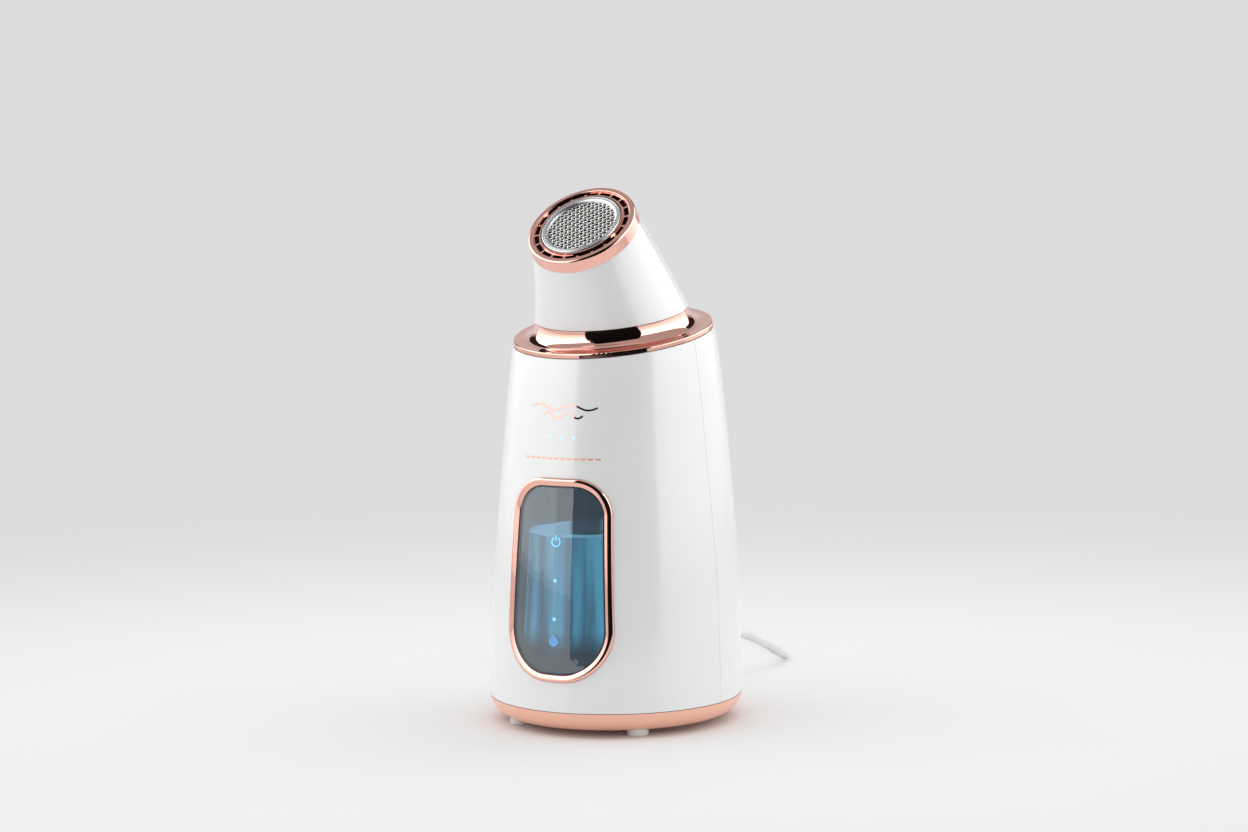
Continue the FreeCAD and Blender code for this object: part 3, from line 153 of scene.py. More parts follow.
class Seat:
    """A tilted frame of the machine: local Z runs out along the piece's own axis."""

    def __init__(self, offset, height, tilt):
        self.origin = Vector((0, offset * MM, height * MM))
        self.turn = Matrix.Rotation(math.radians(tilt), 3, "X")

    def at(self, x, y, z):
        """World place of a local point given in millimetres."""
        return self.origin + self.turn @ Vector((x * MM, y * MM, z * MM))


UPRIGHT = Seat(0.0, 0.0, 0.0)
NOZZLE = Seat(-28.4, 245.8, 39.8)
EXIT = Seat(62.6, 26.0, -90.0)


def dress(piece, material):
    """Give a piece one material."""
    piece.data.materials.clear()
    piece.data.materials.append(material)


def new_piece(name, places, faces, material, body, smooth=True):
    """A mesh piece that rides on a CAD body."""
    mesh = bpy.data.meshes.new(name)
    mesh.from_pydata([tuple(place) for place in places], [], faces)
    work = bmesh.new()
    work.from_mesh(mesh)
    bmesh.ops.recalc_face_normals(work, faces=work.faces)
    work.to_mesh(mesh)
    work.free()
    for face in mesh.polygons:
        face.use_smooth = smooth
    piece = bpy.data.objects.new(name, mesh)
    bpy.context.collection.objects.link(piece)
    dress(piece, material)
    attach(piece, body)
    return piece


def rounded(profile, amount=0.35, steps=3):
    """A profile of (radius, height) corners with each corner rounded."""
    result = []
    count = len(profile)
    for index, corner in enumerate(profile):
        here = Vector(corner)
        before = Vector(profile[index - 1])
        after = Vector(profile[(index + 1) % count])
        if here.x < 1e-6:
            result.append(here)
            continue
        reach = min(amount, (before - here).length * 0.45, (after - here).length * 0.45)
        start = here + (before - here).normalized() * reach
        end = here + (after - here).normalized() * reach
        for step in range(steps + 1):
            along = step / steps
            result.append(start.lerp(here, along).lerp(here.lerp(end, along), along))
    return result


def lathe(name, seat, profile, material, body, steps=96):
    """A turned piece: profile corners are (radius, height) in its seat."""
    places = []
    for step in range(steps):
        angle = 2 * math.pi * step / steps
        for radius, height in profile:
            places.append(seat.at(radius * math.cos(angle), radius * math.sin(angle), height))
    count = len(profile)
    faces = []
    for step in range(steps):
        after = (step + 1) % steps
        for index in range(count):
            following = (index + 1) % count
            faces.append((step * count + index, after * count + index,
                          after * count + following, step * count + following))
    return new_piece(name, places, faces, material, body)


class Wall:
    """The outside of one CAD node, found by looking at it along +Y."""

    def __init__(self, name):
        node = nodes[name]
        places = [node.matrix_world @ vertex.co for vertex in node.data.vertices]
        faces = [tuple(face.vertices) for face in node.data.polygons]
        self.tree = BVHTree.FromPolygons(places, faces)

    def at(self, x, z, lift):
        """World place in front of the wall at x and z, lifted towards the front."""
        start = Vector((x * MM, -0.2, z * MM))
        place = self.tree.ray_cast(start, Vector((0, 1, 0)))[0]
        return place + Vector((0, -lift * MM, 0))


# ------------------------------------------------------------------ materials

def new_material(name, color, roughness, metallic=0.0, **sockets):
    """A Principled material; extra sockets by their label with _ for spaces."""
    material = bpy.data.materials.new(name)
    material.use_nodes = True
    shader = material.node_tree.nodes["Principled BSDF"]
    shader.inputs["Base Color"].default_value = (*color, 1.0)
    shader.inputs["Roughness"].default_value = roughness
    shader.inputs["Metallic"].default_value = metallic
    for label, value in sockets.items():
        shader.inputs[label.replace("_", " ")].default_value = value
    return material


def node_of(material, kind, **settings):
    """A new node of a kind in a material."""
    made = material.node_tree.nodes.new(kind)
    for label, value in settings.items():
        title = label.replace("_", " ")
        if title in made.inputs:
            made.inputs[title].default_value = value
        else:
            setattr(made, label, value)
    return made


def join(material, source, output, target, entry):
    """Link two nodes."""
    material.node_tree.links.new(source.outputs[output], target.inputs[entry])


def noise(material, scale, detail=3.0, stretch=(1.0, 1.0, 1.0)):
    """Noise in the object's own coordinates, squeezed along each axis by stretch."""
    place = node_of(material, "ShaderNodeTexCoord")
    squeeze = node_of(material, "ShaderNodeMapping", Scale=stretch)
    grain = node_of(material, "ShaderNodeTexNoise", Scale=scale, Detail=detail)
    join(material, place, "Object", squeeze, "Vector")
    join(material, squeeze, "Vector", grain, "Vector")
    return grain


def color_ramp(material, stops):
    """A colour ramp with (position, colour) stops."""
    ramp = node_of(material, "ShaderNodeValToRGB")
    elements = ramp.color_ramp.elements
    while len(elements) < len(stops):
        elements.new(0.5)
    for element, (position, color) in zip(elements, stops):
        element.position = position
        element.color = (*color, 1.0)
    return ramp


def map_range(material, source, output, low, high, to_low=0.0, to_high=1.0):
    """Map a value from one span to another."""
    spread = node_of(material, "ShaderNodeMapRange", From_Min=low, From_Max=high,
                     To_Min=to_low, To_Max=to_high)
    join(material, source, output, spread, "Value")
    return spread


def vary_color(material, color_a, color_b, scale):
    """Let the base colour wander between two tones."""
    shader = material.node_tree.nodes["Principled BSDF"]
    grain = noise(material, scale)
    ramp = color_ramp(material, ((0.35, color_a), (0.65, color_b)))
    join(material, grain, "Fac", ramp, "Fac")
    join(material, ramp, "Color", shader, "Base Color")


def vary_roughness(material, low, high, scale):
    """Let the roughness wander between two values."""
    shader = material.node_tree.nodes["Principled BSDF"]
    grain = noise(material, scale)
    spread = map_range(material, grain, "Fac", 0.3, 0.7, low, high)
    join(material, spread, "Result", shader, "Roughness")


def add_bump(material, scale, strength, distance):
    """A fine surface texture."""
    shader = material.node_tree.nodes["Principled BSDF"]
    grain = noise(material, scale, 2.0)
    bump = node_of(material, "ShaderNodeBump", Strength=strength, Distance=distance)
    join(material, grain, "Fac", bump, "Height")
    join(material, bump, "Normal", shader, "Normal")


def white_gloss():
    """Housing plastic: bright white under a clear gloss."""
    made = new_material("white_gloss", (0.86, 0.865, 0.87), 0.34, Specular_IOR_Level=0.9,
                        Coat_Weight=1.0, Coat_Roughness=0.15, Coat_IOR=1.7)
    vary_color(made, (0.855, 0.86, 0.865), (0.87, 0.873, 0.876), 18.0)
    vary_roughness(made, 0.31, 0.37, 60.0)
    return made


def rose_mirror():
    """Rose gold plating."""
    made = new_material("rose_gold", (0.95, 0.52, 0.44), 0.05, metallic=1.0)
    vary_color(made, (0.945, 0.515, 0.43), (0.955, 0.535, 0.45), 25.0)
    vary_roughness(made, 0.035, 0.07, 90.0)
    return made


def rose_satin():
    """Base skirt: satin rose metallic paint."""
    made = new_material("rose_satin", (1.0, 0.56, 0.42), 0.32, metallic=0.35,
                        Coat_Weight=0.35, Coat_Roughness=0.2)
    vary_color(made, (0.99, 0.55, 0.41), (1.0, 0.57, 0.43), 30.0)
    add_bump(made, 2500.0, 0.05, 0.00005)
    return made


def satin_metal(name, color, low, high, grain=120.0):
    """Bare metal with a wandering satin finish."""
    made = new_material(name, color, low, metallic=1.0)
    vary_roughness(made, low, high, grain)
    return made


def plastic(name, color, roughness):
    """Moulded plastic with a fine grain."""
    made = new_material(name, color, roughness)
    vary_color(made, tuple(channel * 0.94 for channel in color), color, 40.0)
    add_bump(made, 1800.0, 0.12, 0.00008)
    return made


def rubber(name, color):
    """Soft rubber or silicone."""
    made = new_material(name, color, 0.55)
    vary_color(made, tuple(channel * 0.93 for channel in color), color, 60.0)
    add_bump(made, 3000.0, 0.15, 0.00006)
    return made


def clear(name, color, alpha):
    """Clear plastic that is mostly seen through."""
    made = new_material(name, color, 0.05, Alpha=alpha)
    vary_roughness(made, 0.04, 0.065, 80.0)
    return made


def window_glass():
    """Tinted pane: polished and blue-grey."""
    made = new_material("window_glass", (0.60, 0.78, 0.91), 0.015, Transmission_Weight=1.0,
                        IOR=2.0)
    vary_color(made, (0.59, 0.77, 0.90), (0.61, 0.79, 0.92), 30.0)
    return made


def glow(name, color, strength):
    """A lit symbol or lamp."""
    made = new_material(name, color, 0.3, Emission_Color=(*color, 1.0),
                        Emission_Strength=strength)
    vary_roughness(made, 0.25, 0.35, 50.0)
    return made


def felt():
    """Charcoal felt pad."""
    made = new_material("charcoal_felt", (0.02, 0.02, 0.02), 0.9)
    vary_color(made, (0.012, 0.012, 0.013), (0.03, 0.03, 0.029), 300.0)
    add_bump(made, 900.0, 0.6, 0.0003)
    return made


# Colours of the water's painted glow: emission standing in for light scattered in the water.
PAINTED_GLOW_DARK = (0.02, 0.09, 0.14)
PAINTED_GLOW_PALE = (0.09, 0.36, 0.48)


def painted_glow_water():
    """Teal water lit by painted light: an emission glow with painted upright refraction streaks,
    and painted shade that darkens it at the bottom.
    """
    made = new_material("painted_glow_water", (0.004, 0.02, 0.03), 0.06, Specular_IOR_Level=0.3)
    shader = made.node_tree.nodes["Principled BSDF"]
    place = node_of(made, "ShaderNodeTexCoord")
    parts = node_of(made, "ShaderNodeSeparateXYZ")
    join(made, place, "Object", parts, "Vector")
    # Painted refraction streaks: upright bands of brighter and darker glow.
    painted_streaks = noise(made, 120.0, 2.0, (1.0, 1.0, 0.02))
    tint = color_ramp(made, ((0.38, PAINTED_GLOW_DARK), (0.62, PAINTED_GLOW_PALE)))
    join(made, painted_streaks, "Fac", tint, "Fac")
    join(made, tint, "Color", shader, "Emission Color")
    # Painted shade: the glow dims towards the bottom of the water.
    bottom_painted_shade = map_range(made, parts, "Z", 0.040, 0.050, 0.06, 1.0)
    join(made, bottom_painted_shade, "Result", shader, "Emission Strength")
    return made


def tank_clear():
    """The tank's wall: clear in front, opaque and dark behind, where it hides the works; that dark
    back is painted shade for the shaded inside.
    """
    made = new_material("clear_tank", (0.03, 0.06, 0.08), 0.06, Specular_IOR_Level=0.4)
    shader = made.node_tree.nodes["Principled BSDF"]
    place = node_of(made, "ShaderNodeTexCoord")
    parts = node_of(made, "ShaderNodeSeparateXYZ")
    join(made, place, "Object", parts, "Vector")
    # Painted shade: towards the back the wall turns into a dark opaque sheet.
    painted_shade_back = map_range(made, parts, "Y", -0.020, -0.005, 0.02, 0.9)
    join(made, painted_shade_back, "Result", shader, "Alpha")
    vary_roughness(made, 0.05, 0.08, 80.0)
    return made


def clear_riser():
    """Steam tube: nearly clear and polished."""
    made = new_material("riser_clear", (0.10, 0.12, 0.14), 0.1, Alpha=0.5)
    vary_roughness(made, 0.06, 0.1, 80.0)
    return made


WHITE = white_gloss()
ROSE = rose_mirror()
SKIRT = rose_satin()
CHROME = satin_metal("satin_chrome", (0.70, 0.71, 0.72), 0.30, 0.36)
WIRE = satin_metal("mesh_wire", (0.88, 0.88, 0.86), 0.26, 0.34, 300.0)
STEEL = satin_metal("steel", (0.62, 0.625, 0.63), 0.22, 0.32, 200.0)
LEAD = rubber("lead_white", (0.84, 0.84, 0.83))
DARK = plastic("inner_dark", (0.018, 0.017, 0.018), 0.4)
PALE = plastic("lid_plastic", (0.62, 0.62, 0.61), 0.4)
BOARD = plastic("circuit_board", (0.012, 0.085, 0.04), 0.35)
PARTS = plastic("components", (0.02, 0.02, 0.022), 0.4)
PANE = window_glass()
LIT_BLUE = glow("lit_blue", (0.20, 0.56, 0.85), 0.7)
LIT_SOFT = glow("lit_soft", (0.10, 0.26, 0.50), 0.6)

NODE_MATERIALS = {
    "front_shell": WHITE, "rear_shell": WHITE, "head_shell": WHITE,
    "window_bezel": ROSE, "collar_ring": ROSE, "head_ring": ROSE, "base_tray": SKIRT,
    "foot_pads": rubber("foot_rubber", (0.80, 0.80, 0.79)),
    "window_pane": PANE,
    "touch_film": clear("touch_film", (0.3, 0.4, 0.5), 0.015),
    "status_leds": glow("status_light", (0.52, 0.82, 0.90), 0.42),
    "water_tank": tank_clear(),
    "steam_riser": clear_riser(),
    "boiler_cup": STEEL, "mesh_frame": CHROME, "mesh_screen": STEEL,
    "base_screws": STEEL, "board_screws": STEEL, "swivel_clip": STEEL, "ionizer_pin": STEEL,
    "heater_plate": satin_metal("cast_aluminium", (0.6, 0.61, 0.62), 0.4, 0.5),
    "piezo_disc": satin_metal("silvered_ceramic", (0.75, 0.72, 0.65), 0.3, 0.4),
    "aroma_pad": felt(),
    "plug_pins": satin_metal("nickel", (0.72, 0.69, 0.62), 0.18, 0.26),
    "plug_body": LEAD, "strain_relief": LEAD,
}
NODE_GROUPS = (
    (DARK, ("slot_backing", "nozzle_duct", "aroma_basket", "chassis_plate", "piezo_holder")),
    (PALE, ("rim_ring", "lid_carrier", "lid_plate", "head_base", "swivel_bush", "level_float",
            "float_stem")),
    (BOARD, ("power_board", "control_board", "led_board")),
    (PARTS, ("transformer", "capacitors", "control_chips", "ion_module", "thermal_cutoffs")),
    (rubber("silicone", (0.70, 0.71, 0.72)),
     ("riser_seal", "inlet_filter", "piezo_seal", "lid_gasket", "duct_seal")),
)


def dress_nodes():
    """Materials of the CAD nodes and the lead."""
    for name, material in NODE_MATERIALS.items():
        dress(nodes[name], material)
    for material, names in NODE_GROUPS:
        for name in names:
            dress(nodes[name], material)
    dress(lead, LEAD)


dress_nodes()


def soften(name, width):
    """Round the sharp edges of a CAD node."""
    bevel = nodes[name].modifiers.new("soft_edges", "BEVEL")
    bevel.width = width * MM
    bevel.segments = 3
    bevel.limit_method = "ANGLE"
    bevel.angle_limit = math.radians(38)
    bevel.harden_normals = True


soften("plug_body", 1.2)


# ------------------------------------------------------------------ strain relief

def make_strain_relief():
    """Ribbed boot that tapers from the wall to the lead."""
    profile = [(2.15, -2.0), (6.3, -2.0), (6.4, 0.4), (6.4, 1.9), (4.9, 2.3)]
    ribs = 6
    start, end = 3.0, 23.4
    pitch = (end - start) / ribs
    for rib in range(ribs):
        along = start + rib * pitch
        outer = 4.7 - 0.26 * rib
        profile += [(outer - 0.75, along), (outer - 0.75, along + 0.35 * pitch),
                    (outer, along + 0.4 * pitch), (outer, along + 0.95 * pitch)]
    profile += [(3.0, end), (2.9, 24.0), (2.25, 24.2)]
    boot = lathe("cord_boot", EXIT, rounded(profile, 0.3), LEAD, "housing", 48)
    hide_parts("strain_relief")
    return boot


boot = make_strain_relief()


# ------------------------------------------------------------------ outlet mesh

MESH_PITCH = 1.98
MESH_TURN = math.radians(23.0)
MESH_REACH = 17.45
MESH_LEVEL = -1.45
WIRE_HALF_WIDTH = 0.42
WIRE_HALF_THICK = 0.16
WIRE_SIDES = 8


def wire_ring(along, offset, height, across):
    """Cross-section places of one wire, in mesh coordinates turned to its direction."""
    ring = []
    for side in range(WIRE_SIDES):
        angle = 2 * math.pi * side / WIRE_SIDES
        sideways = offset + WIRE_HALF_WIDTH * math.cos(angle)
        rise = height + WIRE_HALF_THICK * math.sin(angle)
        x, y = (sideways, along) if across else (along, sideways)
        turned_x = x * math.cos(MESH_TURN) - y * math.sin(MESH_TURN)
        turned_y = x * math.sin(MESH_TURN) + y * math.cos(MESH_TURN)
        ring.append(NOZZLE.at(turned_x, turned_y, MESH_LEVEL + rise))
    return ring


def add_wire(places, faces, wire, across):
    """Add one wire of the weave, over and under the wires that it crosses."""
    offset = wire * MESH_PITCH + MESH_PITCH / 2
    if abs(offset) >= MESH_REACH:
        return
    half = math.sqrt(MESH_REACH ** 2 - offset ** 2)
    steps = max(8, int(2 * half / MESH_PITCH * 6))
    sign = 1.0 if (wire % 2 == 0) != across else -1.0
    for step in range(steps + 1):
        along = -half + 2 * half * step / steps
        phase = math.pi * (along - MESH_PITCH / 2) / MESH_PITCH
        height = sign * WIRE_HALF_THICK * math.cos(phase)
        start = len(places)
        places += wire_ring(along, offset, height, across)
        if step == 0:
            continue
        for side in range(WIRE_SIDES):
            after = (side + 1) % WIRE_SIDES
            faces.append((start - WIRE_SIDES + side, start - WIRE_SIDES + after,
                          start + after, start + side))


def make_woven_mesh():
    """Plain weave of flat steel wires that fills the outlet."""
    places = []
    faces = []
    count = int(MESH_REACH / MESH_PITCH)
    for across in (False, True):
        for wire in range(-count, count + 1):
            add_wire(places, faces, wire, across)
    mesh = new_piece("woven_mesh", places, faces, WIRE, "cap")
    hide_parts("mesh_screen")


def make_mesh_frame():
    """Silver frame of the mesh with a fine groove and a rounded inner slope."""
    profile = [(20.4, -3.4), (20.4, -0.6), (20.0, 0.25), (19.35, 0.3), (19.2, 0.0), (19.0, 0.3),
               (18.2, 0.25), (17.3, -0.35), (16.95, -1.1), (16.95, -3.3), (17.6, -3.4)]
    band = lathe("mesh_rim", NOZZLE, rounded(profile, 0.5, 4), CHROME, "cap", 128)
    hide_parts("mesh_frame")


make_woven_mesh()
make_mesh_frame()


# ------------------------------------------------------------------ window

WATER_LEVEL = 95.4
WATER_GAP = 0.15
WATER_STEPS = 96
RISER_HOLE = 8.2
RISER_OFFSET = -27.0
pane_wall = Wall("window_pane")
shell_wall = Wall("front_shell")


def tank_inside(height):
    """Radius and centre offset of the water, wider than the bore as a thick clear wall shows it."""
    climb = (height - 27.5) / 157.5
    return 40.8 - 9.4 * climb, -11.0 + 2.6 * climb


def level_ring(radius, centre, height):
    """Places of one level ring of the water."""
    places = []
    for step in range(WATER_STEPS):
        angle = 2 * math.pi * step / WATER_STEPS
        places.append(UPRIGHT.at(radius * math.sin(angle), centre - radius * math.cos(angle),
                                 height))
    return places


def ring_faces(rings):
    """Faces that join rings of the water to one another."""
    faces = []
    for row in range(rings - 1):
        for step in range(WATER_STEPS):
            after = (step + 1) % WATER_STEPS
            faces.append((row * WATER_STEPS + step, row * WATER_STEPS + after,
                          (row + 1) * WATER_STEPS + after, (row + 1) * WATER_STEPS + step))
    return faces


def make_water():
    """The body of water in the tank."""
    levels = (27.7, 30.0, 40.0, 55.0, 70.0, 85.0, WATER_LEVEL - 0.2)
    places = []
    for level in levels:
        radius, offset = tank_inside(level)
        places += level_ring(radius - WATER_GAP, offset, level)
    faces = ring_faces(len(levels)) + [tuple(range(WATER_STEPS))]
    new_piece("water", places, faces, painted_glow_water(), "housing")


def water_skin():
    """The water's surface with painted light: a teal emission glow that brightens and dims in soft
    ripples of painted glint.
    """
    # Painted light: the emission colour stands in for light on the water's surface.
    made = new_material("water_surface", (0.01, 0.06, 0.09), 0.08,
                        Emission_Color=(0.15, 0.34, 0.45, 1.0))
    ripple = noise(made, 90.0, 2.0)
    painted_glint = map_range(made, ripple, "Fac", 0.3, 0.7, 0.75, 1.25)
    join(made, painted_glint, "Result", made.node_tree.nodes["Principled BSDF"], "Emission Strength")
    return made


def make_water_top():
    """The dished surface of the water, with a hole for the steam tube."""
    radius, offset = tank_inside(WATER_LEVEL)
    places = level_ring(radius - WATER_GAP, offset, WATER_LEVEL)
    places += level_ring(radius - 0.7, offset, WATER_LEVEL - 0.25)
    places += level_ring(radius * 0.6, offset, WATER_LEVEL - 0.3)
    places += level_ring(RISER_HOLE, RISER_OFFSET, WATER_LEVEL - 0.3)
    new_piece("water_top", places, ring_faces(4), water_skin(), "housing")


def decal(name, outlines, wall, lift, material, thickness=0.12):
    """Thin raised marks on a wall: each outline is a list of (x, z) strips, left and right."""
    places = []
    faces = []
    for strip in outlines:
        start = len(places)
        for left, right in strip:
            for x, z in (left, right):
                places.append(wall.at(x, z, lift + thickness))
                places.append(wall.at(x, z, lift - 0.05))
        rows = len(strip)
        for row in range(rows - 1):
            a = start + row * 4
            b = a + 4
            faces += [(a, a + 2, b + 2, b), (a, b, b + 1, a + 1), (a + 2, a + 3, b + 3, b + 2)]
        end = start + (rows - 1) * 4
        faces += [(start, start + 1, start + 3, start + 2), (end, end + 2, end + 3, end + 1)]
    return new_piece(name, places, faces, material, "housing", smooth=False)


def arc_strip(x, z, inner, outer, first, last, steps=24):
    """A band round a place, from one angle to another; angles run from the top."""
    strip = []
    for step in range(steps + 1):
        angle = math.radians(first + (last - first) * step / steps)
        sine, cosine = math.sin(angle), math.cos(angle)
        strip.append(((x + inner * sine, z + inner * cosine),
                      (x + outer * sine, z + outer * cosine)))
    return strip


def line_strip(points, half_width):
    """A stroke of one width along (x, z) points, tapered at both ends."""
    strip = []
    last = len(points) - 1
    for index, (x, z) in enumerate(points):
        before = points[max(0, index - 1)]
        after = points[min(last, index + 1)]
        run = Vector((after[0] - before[0], after[1] - before[1])).normalized()
        width = half_width * (0.45 if index in (0, last) else 1.0)
        strip.append(((x - run.y * width, z + run.x * width),
                      (x + run.y * width, z - run.x * width)))
    return strip


def bar(x, z, half_length, half_width):
    """A short level bar with drawn-in ends."""
    return line_strip([(x - half_length, z), (x - half_length + 0.15, z),
                       (x + half_length - 0.15, z), (x + half_length, z)], half_width)


def droplet(x, z, tall):
    """A drop with its point up."""
    strip = []
    steps = 22
    for step in range(steps + 1):
        along = step / steps
        half = 0.40 * tall * math.sin(math.pi * along ** 1.5) + 0.02
        strip.append(((x - half, z + tall * (0.5 - along)), (x + half, z + tall * (0.5 - along))))
    return strip


WINDOW_HALF_TOP, WINDOW_TOP, WINDOW_ROUND_TOP = 26.4, 124.9, 18.5
WINDOW_HALF_LOW, WINDOW_LOW, WINDOW_ROUND_LOW = 30.2, 26.8, 25.0


def window_outline():
    """Places round the window and the inward direction at each, both as (x, z)."""
    corners = ((-WINDOW_HALF_TOP, WINDOW_TOP, WINDOW_ROUND_TOP),
               (WINDOW_HALF_TOP, WINDOW_TOP, WINDOW_ROUND_TOP),
               (WINDOW_HALF_LOW, WINDOW_LOW, WINDOW_ROUND_LOW),
               (-WINDOW_HALF_LOW, WINDOW_LOW, WINDOW_ROUND_LOW))
    arcs = []
    steps = 20
    for index, (x, z, radius) in enumerate(corners):
        corner = Vector((x, z))
        before = (Vector(corners[index - 1][:2]) - corner).normalized()
        after = (Vector(corners[(index + 1) % 4][:2]) - corner).normalized()
        half = before.angle(after) / 2
        centre = corner + (before + after).normalized() * radius / math.sin(half)
        first = corner + before * radius / math.tan(half) - centre
        sweep = math.pi - 2 * half
        for step in range(steps + 1):
            arm = Matrix.Rotation(-sweep * step / steps, 2) @ first
            arcs.append((centre + arm, -arm.normalized()))
    outline = []
    for index, (place, inward) in enumerate(arcs):
        following = arcs[(index + 1) % len(arcs)][0]
        pieces = max(1, round((following - place).length / 3.0))
        for piece in range(pieces):
            outline.append((place.lerp(following, piece / pieces), inward))
    return outline


def make_window_band(name, profile, material):
    """A band that follows the window: profile points are (inset, lift)."""
    outline = window_outline()
    rows = []
    for place, inward in outline:
        outer = place - inward * 0.5
        inner = place + inward * 5.0
        rows.append((shell_wall.at(outer.x, outer.y, 0.0), pane_wall.at(inner.x, inner.y, -0.3)))
    places = []
    for index, (outer, inner) in enumerate(rows):
        tangent = rows[(index + 1) % len(rows)][0] - rows[index - 1][0]
        normal = tangent.cross(inner - outer).normalized()
        if normal.y > 0:
            normal = -normal
        for inset, lift in profile:
            places.append(outer.lerp(inner, (inset + 0.5) / 5.5) + normal * lift * MM)
    count = len(profile)
    faces = []
    for row in range(len(rows)):
        after = (row + 1) % len(rows)
        for index in range(count):
            following = (index + 1) % count
            faces.append((row * count + index, after * count + index,
                          after * count + following, row * count + following))
    return new_piece(name, places, faces, material, "housing")


def make_bezel():
    """Rose gold frame with a smooth crown, and the tinted edge of the pane."""
    profile = [(0.05, -0.4), (0.15, 0.6), (0.65, 1.2), (1.5, 1.38), (2.5, 1.1), (3.4, 0.7),
               (3.9, 0.3), (4.0, -0.4)]
    bead = make_window_band("bezel_bead", rounded(profile, 0.5, 3), ROSE)
    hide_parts("window_bezel")
    tint = clear("pane_edge", (0.03, 0.09, 0.15), 0.45)
    make_window_band("pane_edge", [(4.05, 0.2), (4.05, 0.36), (4.6, 0.36), (4.6, 0.2)], tint)


def make_touch_symbols():
    """Lit symbols on the pane: power, two level dots and a drop."""
    power = [arc_strip(0.1, 94.6, 1.95, 2.5, 28, 332, 40),
             line_strip([(0.1, 95.1), (0.1, 95.4), (0.1, 97.6), (0.1, 97.9)], 0.28)]
    dots = [arc_strip(0.2, level, 0.01, 0.9, 0, 360) for level in (76.0, 57.5)]
    decal("touch_symbols", power + dots, pane_wall, 0.05, LIT_BLUE, 0.08)
    decal("drop_symbol", [droplet(0.0, 47.3, 6.4)], pane_wall, 0.05, LIT_SOFT, 0.08)


def wave(height, first, last, swing):
    """A level wavy line from first to last."""
    points = []
    steps = 72
    for step in range(steps + 1):
        along = step / steps
        rise = swing * math.sin(2 * math.pi * 2 * along)
        points.append((first + (last - first) * along, height + rise))
    return line_strip(points, 0.42)


def make_front_marks():
    """Plain rose gold waves and a dashed line on the front; neither spells anything."""
    waves = [wave(158.8, -17.4, 18.5, 1.3), wave(154.9, -10.4, 11.5, 1.3)]
    decal("front_waves", waves, shell_wall, 0.0, ROSE)
    dashes = [bar(-19.6 + index * 3.56, 134.2, 1.25, 0.5) for index in range(12)]
    decal("front_dashes", dashes, shell_wall, 0.0, SKIRT)


make_bezel()
make_water()
make_water_top()
make_touch_symbols()
make_front_marks()


# ------------------------------------------------------------------ studio

LAMP_AIM = 0.12
CARD_NEAR = 0.45
CARD_FAR = 1.0
SURROUND = 0.72


def area_light(name, azimuth, distance, height, size, power):
    """A soft box that only lights; azimuth is measured from the camera's side."""
    angle = CAMERA_AZIMUTH + math.radians(azimuth)
    place = Vector((distance * math.sin(angle), -distance * math.cos(angle), height))
    data = bpy.data.lights.new(name, "AREA")
    data.shape = "RECTANGLE"
    data.size, data.size_y = size
    data.energy = power
    lamp = bpy.data.objects.new(name, data)
    lamp.location = place
    lamp.rotation_euler = (Vector((0, 0, LAMP_AIM)) - place).to_track_quat("-Z", "Y").to_euler()
    lamp.visible_camera = False
    lamp.visible_glossy = False
    bpy.context.collection.objects.link(lamp)


def card_material(name, low_z, high_z, low_light, high_light):
    """Light that changes from low_light at height low_z to high_light at high_z."""
    material = bpy.data.materials.new(name)
    material.use_nodes = True
    tree = material.node_tree
    tree.nodes.remove(tree.nodes["Principled BSDF"])
    place = node_of(material, "ShaderNodeTexCoord")
    parts = node_of(material, "ShaderNodeSeparateXYZ")
    join(material, place, "Object", parts, "Vector")
    fade = map_range(material, parts, "Z", low_z, high_z, low_light, high_light)
    glow_node = node_of(material, "ShaderNodeEmission")
    join(material, fade, "Result", glow_node, "Strength")
    join(material, glow_node, "Emission", tree.nodes["Material Output"], "Surface")
    return material


def reflection_card(name, start, end, radius, low, high, material):
    """An arc seen only in reflections; angles run from the camera's side."""
    mesh = bpy.data.meshes.new(name)
    work = bmesh.new()
    columns = []
    steps = 24
    for step in range(steps + 1):
        angle = CAMERA_AZIMUTH + math.radians(start + (end - start) * step / steps)
        x, y = radius * math.sin(angle), -radius * math.cos(angle)
        columns.append((work.verts.new((x, y, low)), work.verts.new((x, y, high))))
    for left, right in zip(columns, columns[1:]):
        work.faces.new((left[0], right[0], right[1], left[1]))
    work.to_mesh(mesh)
    work.free()
    card = bpy.data.objects.new(name, mesh)
    card.data.materials.append(material)
    card.visible_camera = False
    card.visible_diffuse = False
    card.visible_shadow = False
    card.visible_transmission = False
    bpy.context.collection.objects.link(card)


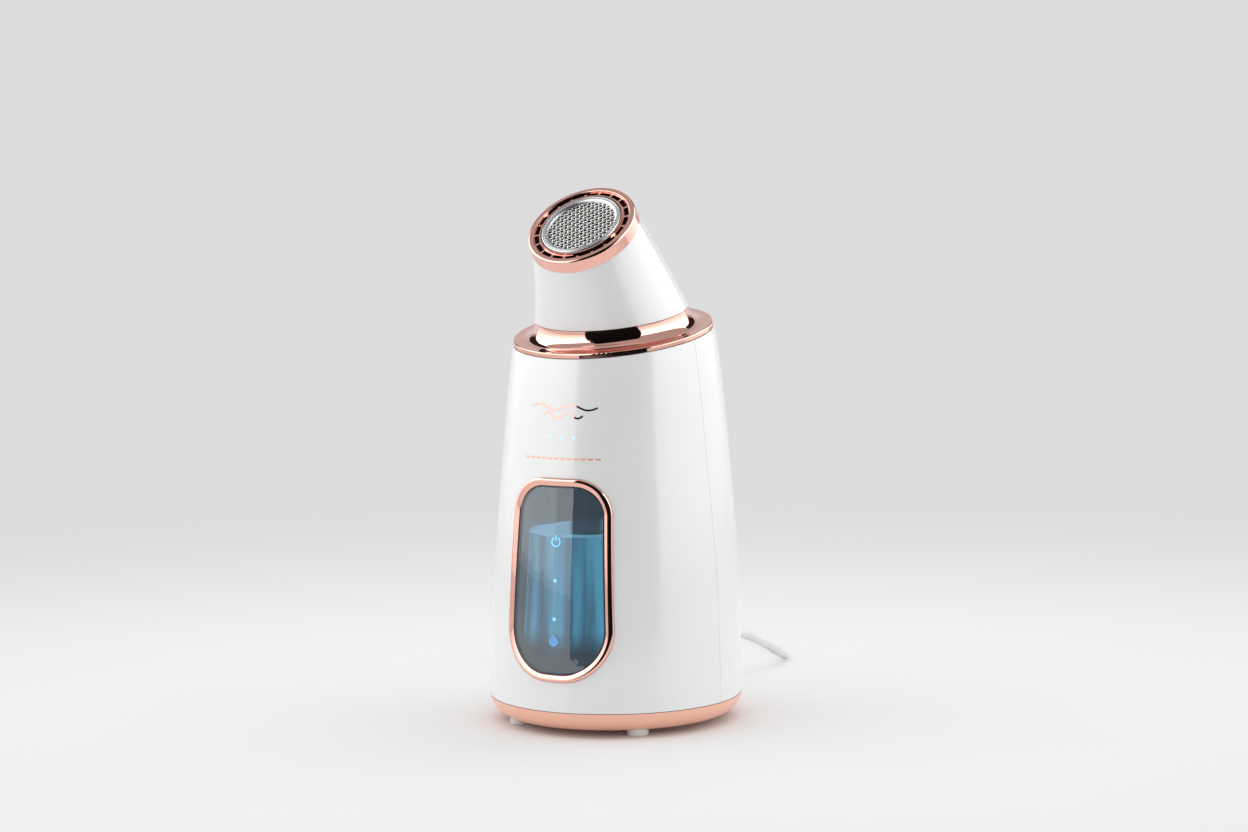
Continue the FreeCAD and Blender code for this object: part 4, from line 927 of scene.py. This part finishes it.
def make_floor():
    """A white floor that blends into the even surroundings with distance from the machine."""
    mesh = bpy.data.meshes.new("floor")
    work = bmesh.new()
    bmesh.ops.create_grid(work, x_segments=8, y_segments=8, size=90.0)
    work.to_mesh(mesh)
    work.free()
    floor = bpy.data.objects.new("floor", mesh)
    bpy.context.collection.objects.link(floor)
    material = new_material("floor_white", (0.84, 0.84, 0.84), 0.6, Specular_IOR_Level=0.0)
    tree = material.node_tree
    place = node_of(material, "ShaderNodeTexCoord")
    length = node_of(material, "ShaderNodeVectorMath", operation="LENGTH")
    join(material, place, "Object", length, 0)
    fade = map_range(material, length, "Value", 0.2, 0.9)
    fade.interpolation_type = "SMOOTHSTEP"
    far = node_of(material, "ShaderNodeEmission", Color=(SURROUND, SURROUND, SURROUND, 1.0),
                  Strength=1.0)
    blend = node_of(material, "ShaderNodeMixShader")
    join(material, fade, "Result", blend, 0)
    tree.links.new(tree.nodes["Principled BSDF"].outputs[0], blend.inputs[1])
    tree.links.new(far.outputs[0], blend.inputs[2])
    tree.links.new(blend.outputs[0], tree.nodes["Material Output"].inputs["Surface"])
    floor.data.materials.append(material)


def make_world():
    """Even pale surroundings, a little darker overhead."""
    world = bpy.data.worlds.new("studio")
    world.use_nodes = True
    tree = world.node_tree
    place = tree.nodes.new("ShaderNodeTexCoord")
    color = (SURROUND, SURROUND, SURROUND, 1.0)
    tree.nodes["Background"].inputs["Color"].default_value = color
    parts = tree.nodes.new("ShaderNodeSeparateXYZ")
    overhead = tree.nodes.new("ShaderNodeMapRange")
    overhead.inputs["From Min"].default_value = 0.12
    overhead.inputs["From Max"].default_value = 0.7
    overhead.inputs["To Min"].default_value = 1.0
    overhead.inputs["To Max"].default_value = 0.64
    tree.links.new(place.outputs["Generated"], parts.inputs["Vector"])
    tree.links.new(parts.outputs["Z"], overhead.inputs["Value"])
    tree.links.new(overhead.outputs["Result"], tree.nodes["Background"].inputs["Strength"])
    bpy.context.scene.world = world


def make_studio():
    """Floor, surroundings, soft lights and the cards that the gloss reflects."""
    make_world()
    make_floor()
    area_light("soft_left", -90, 1.0, 0.6, (1.4, 1.2), 4.3)
    area_light("soft_right", 90, 1.0, 0.6, (1.4, 1.2), 4.4)
    area_light("soft_top", 180, 0.1, 1.7, (2.0, 2.0), 13.5)
    black = card_material("black_card", 0.0, 0.3, 0.008, 0.004)
    edge = card_material("edge_card", 0.30, 0.50, 0.85, 0.02)
    bright = card_material("bright_card", 0.05, 0.95, 1.0, 3.2)
    reflection_card("front_card", -40, 38, CARD_NEAR, 0.0, 0.95, black)
    reflection_card("left_card", -140, -40, CARD_FAR, 0.05, 1.1, bright)
    reflection_card("right_card", 38, 140, CARD_FAR, 0.05, 1.1, bright)
    reflection_card("left_edge", -158, -140, CARD_FAR, 0.0, 1.1, edge)
    reflection_card("right_edge", 140, 158, CARD_FAR, 0.0, 1.1, edge)
    scene = bpy.context.scene
    scene.view_settings.view_transform = "Standard"
    scene.view_settings.look = "None"


make_studio()
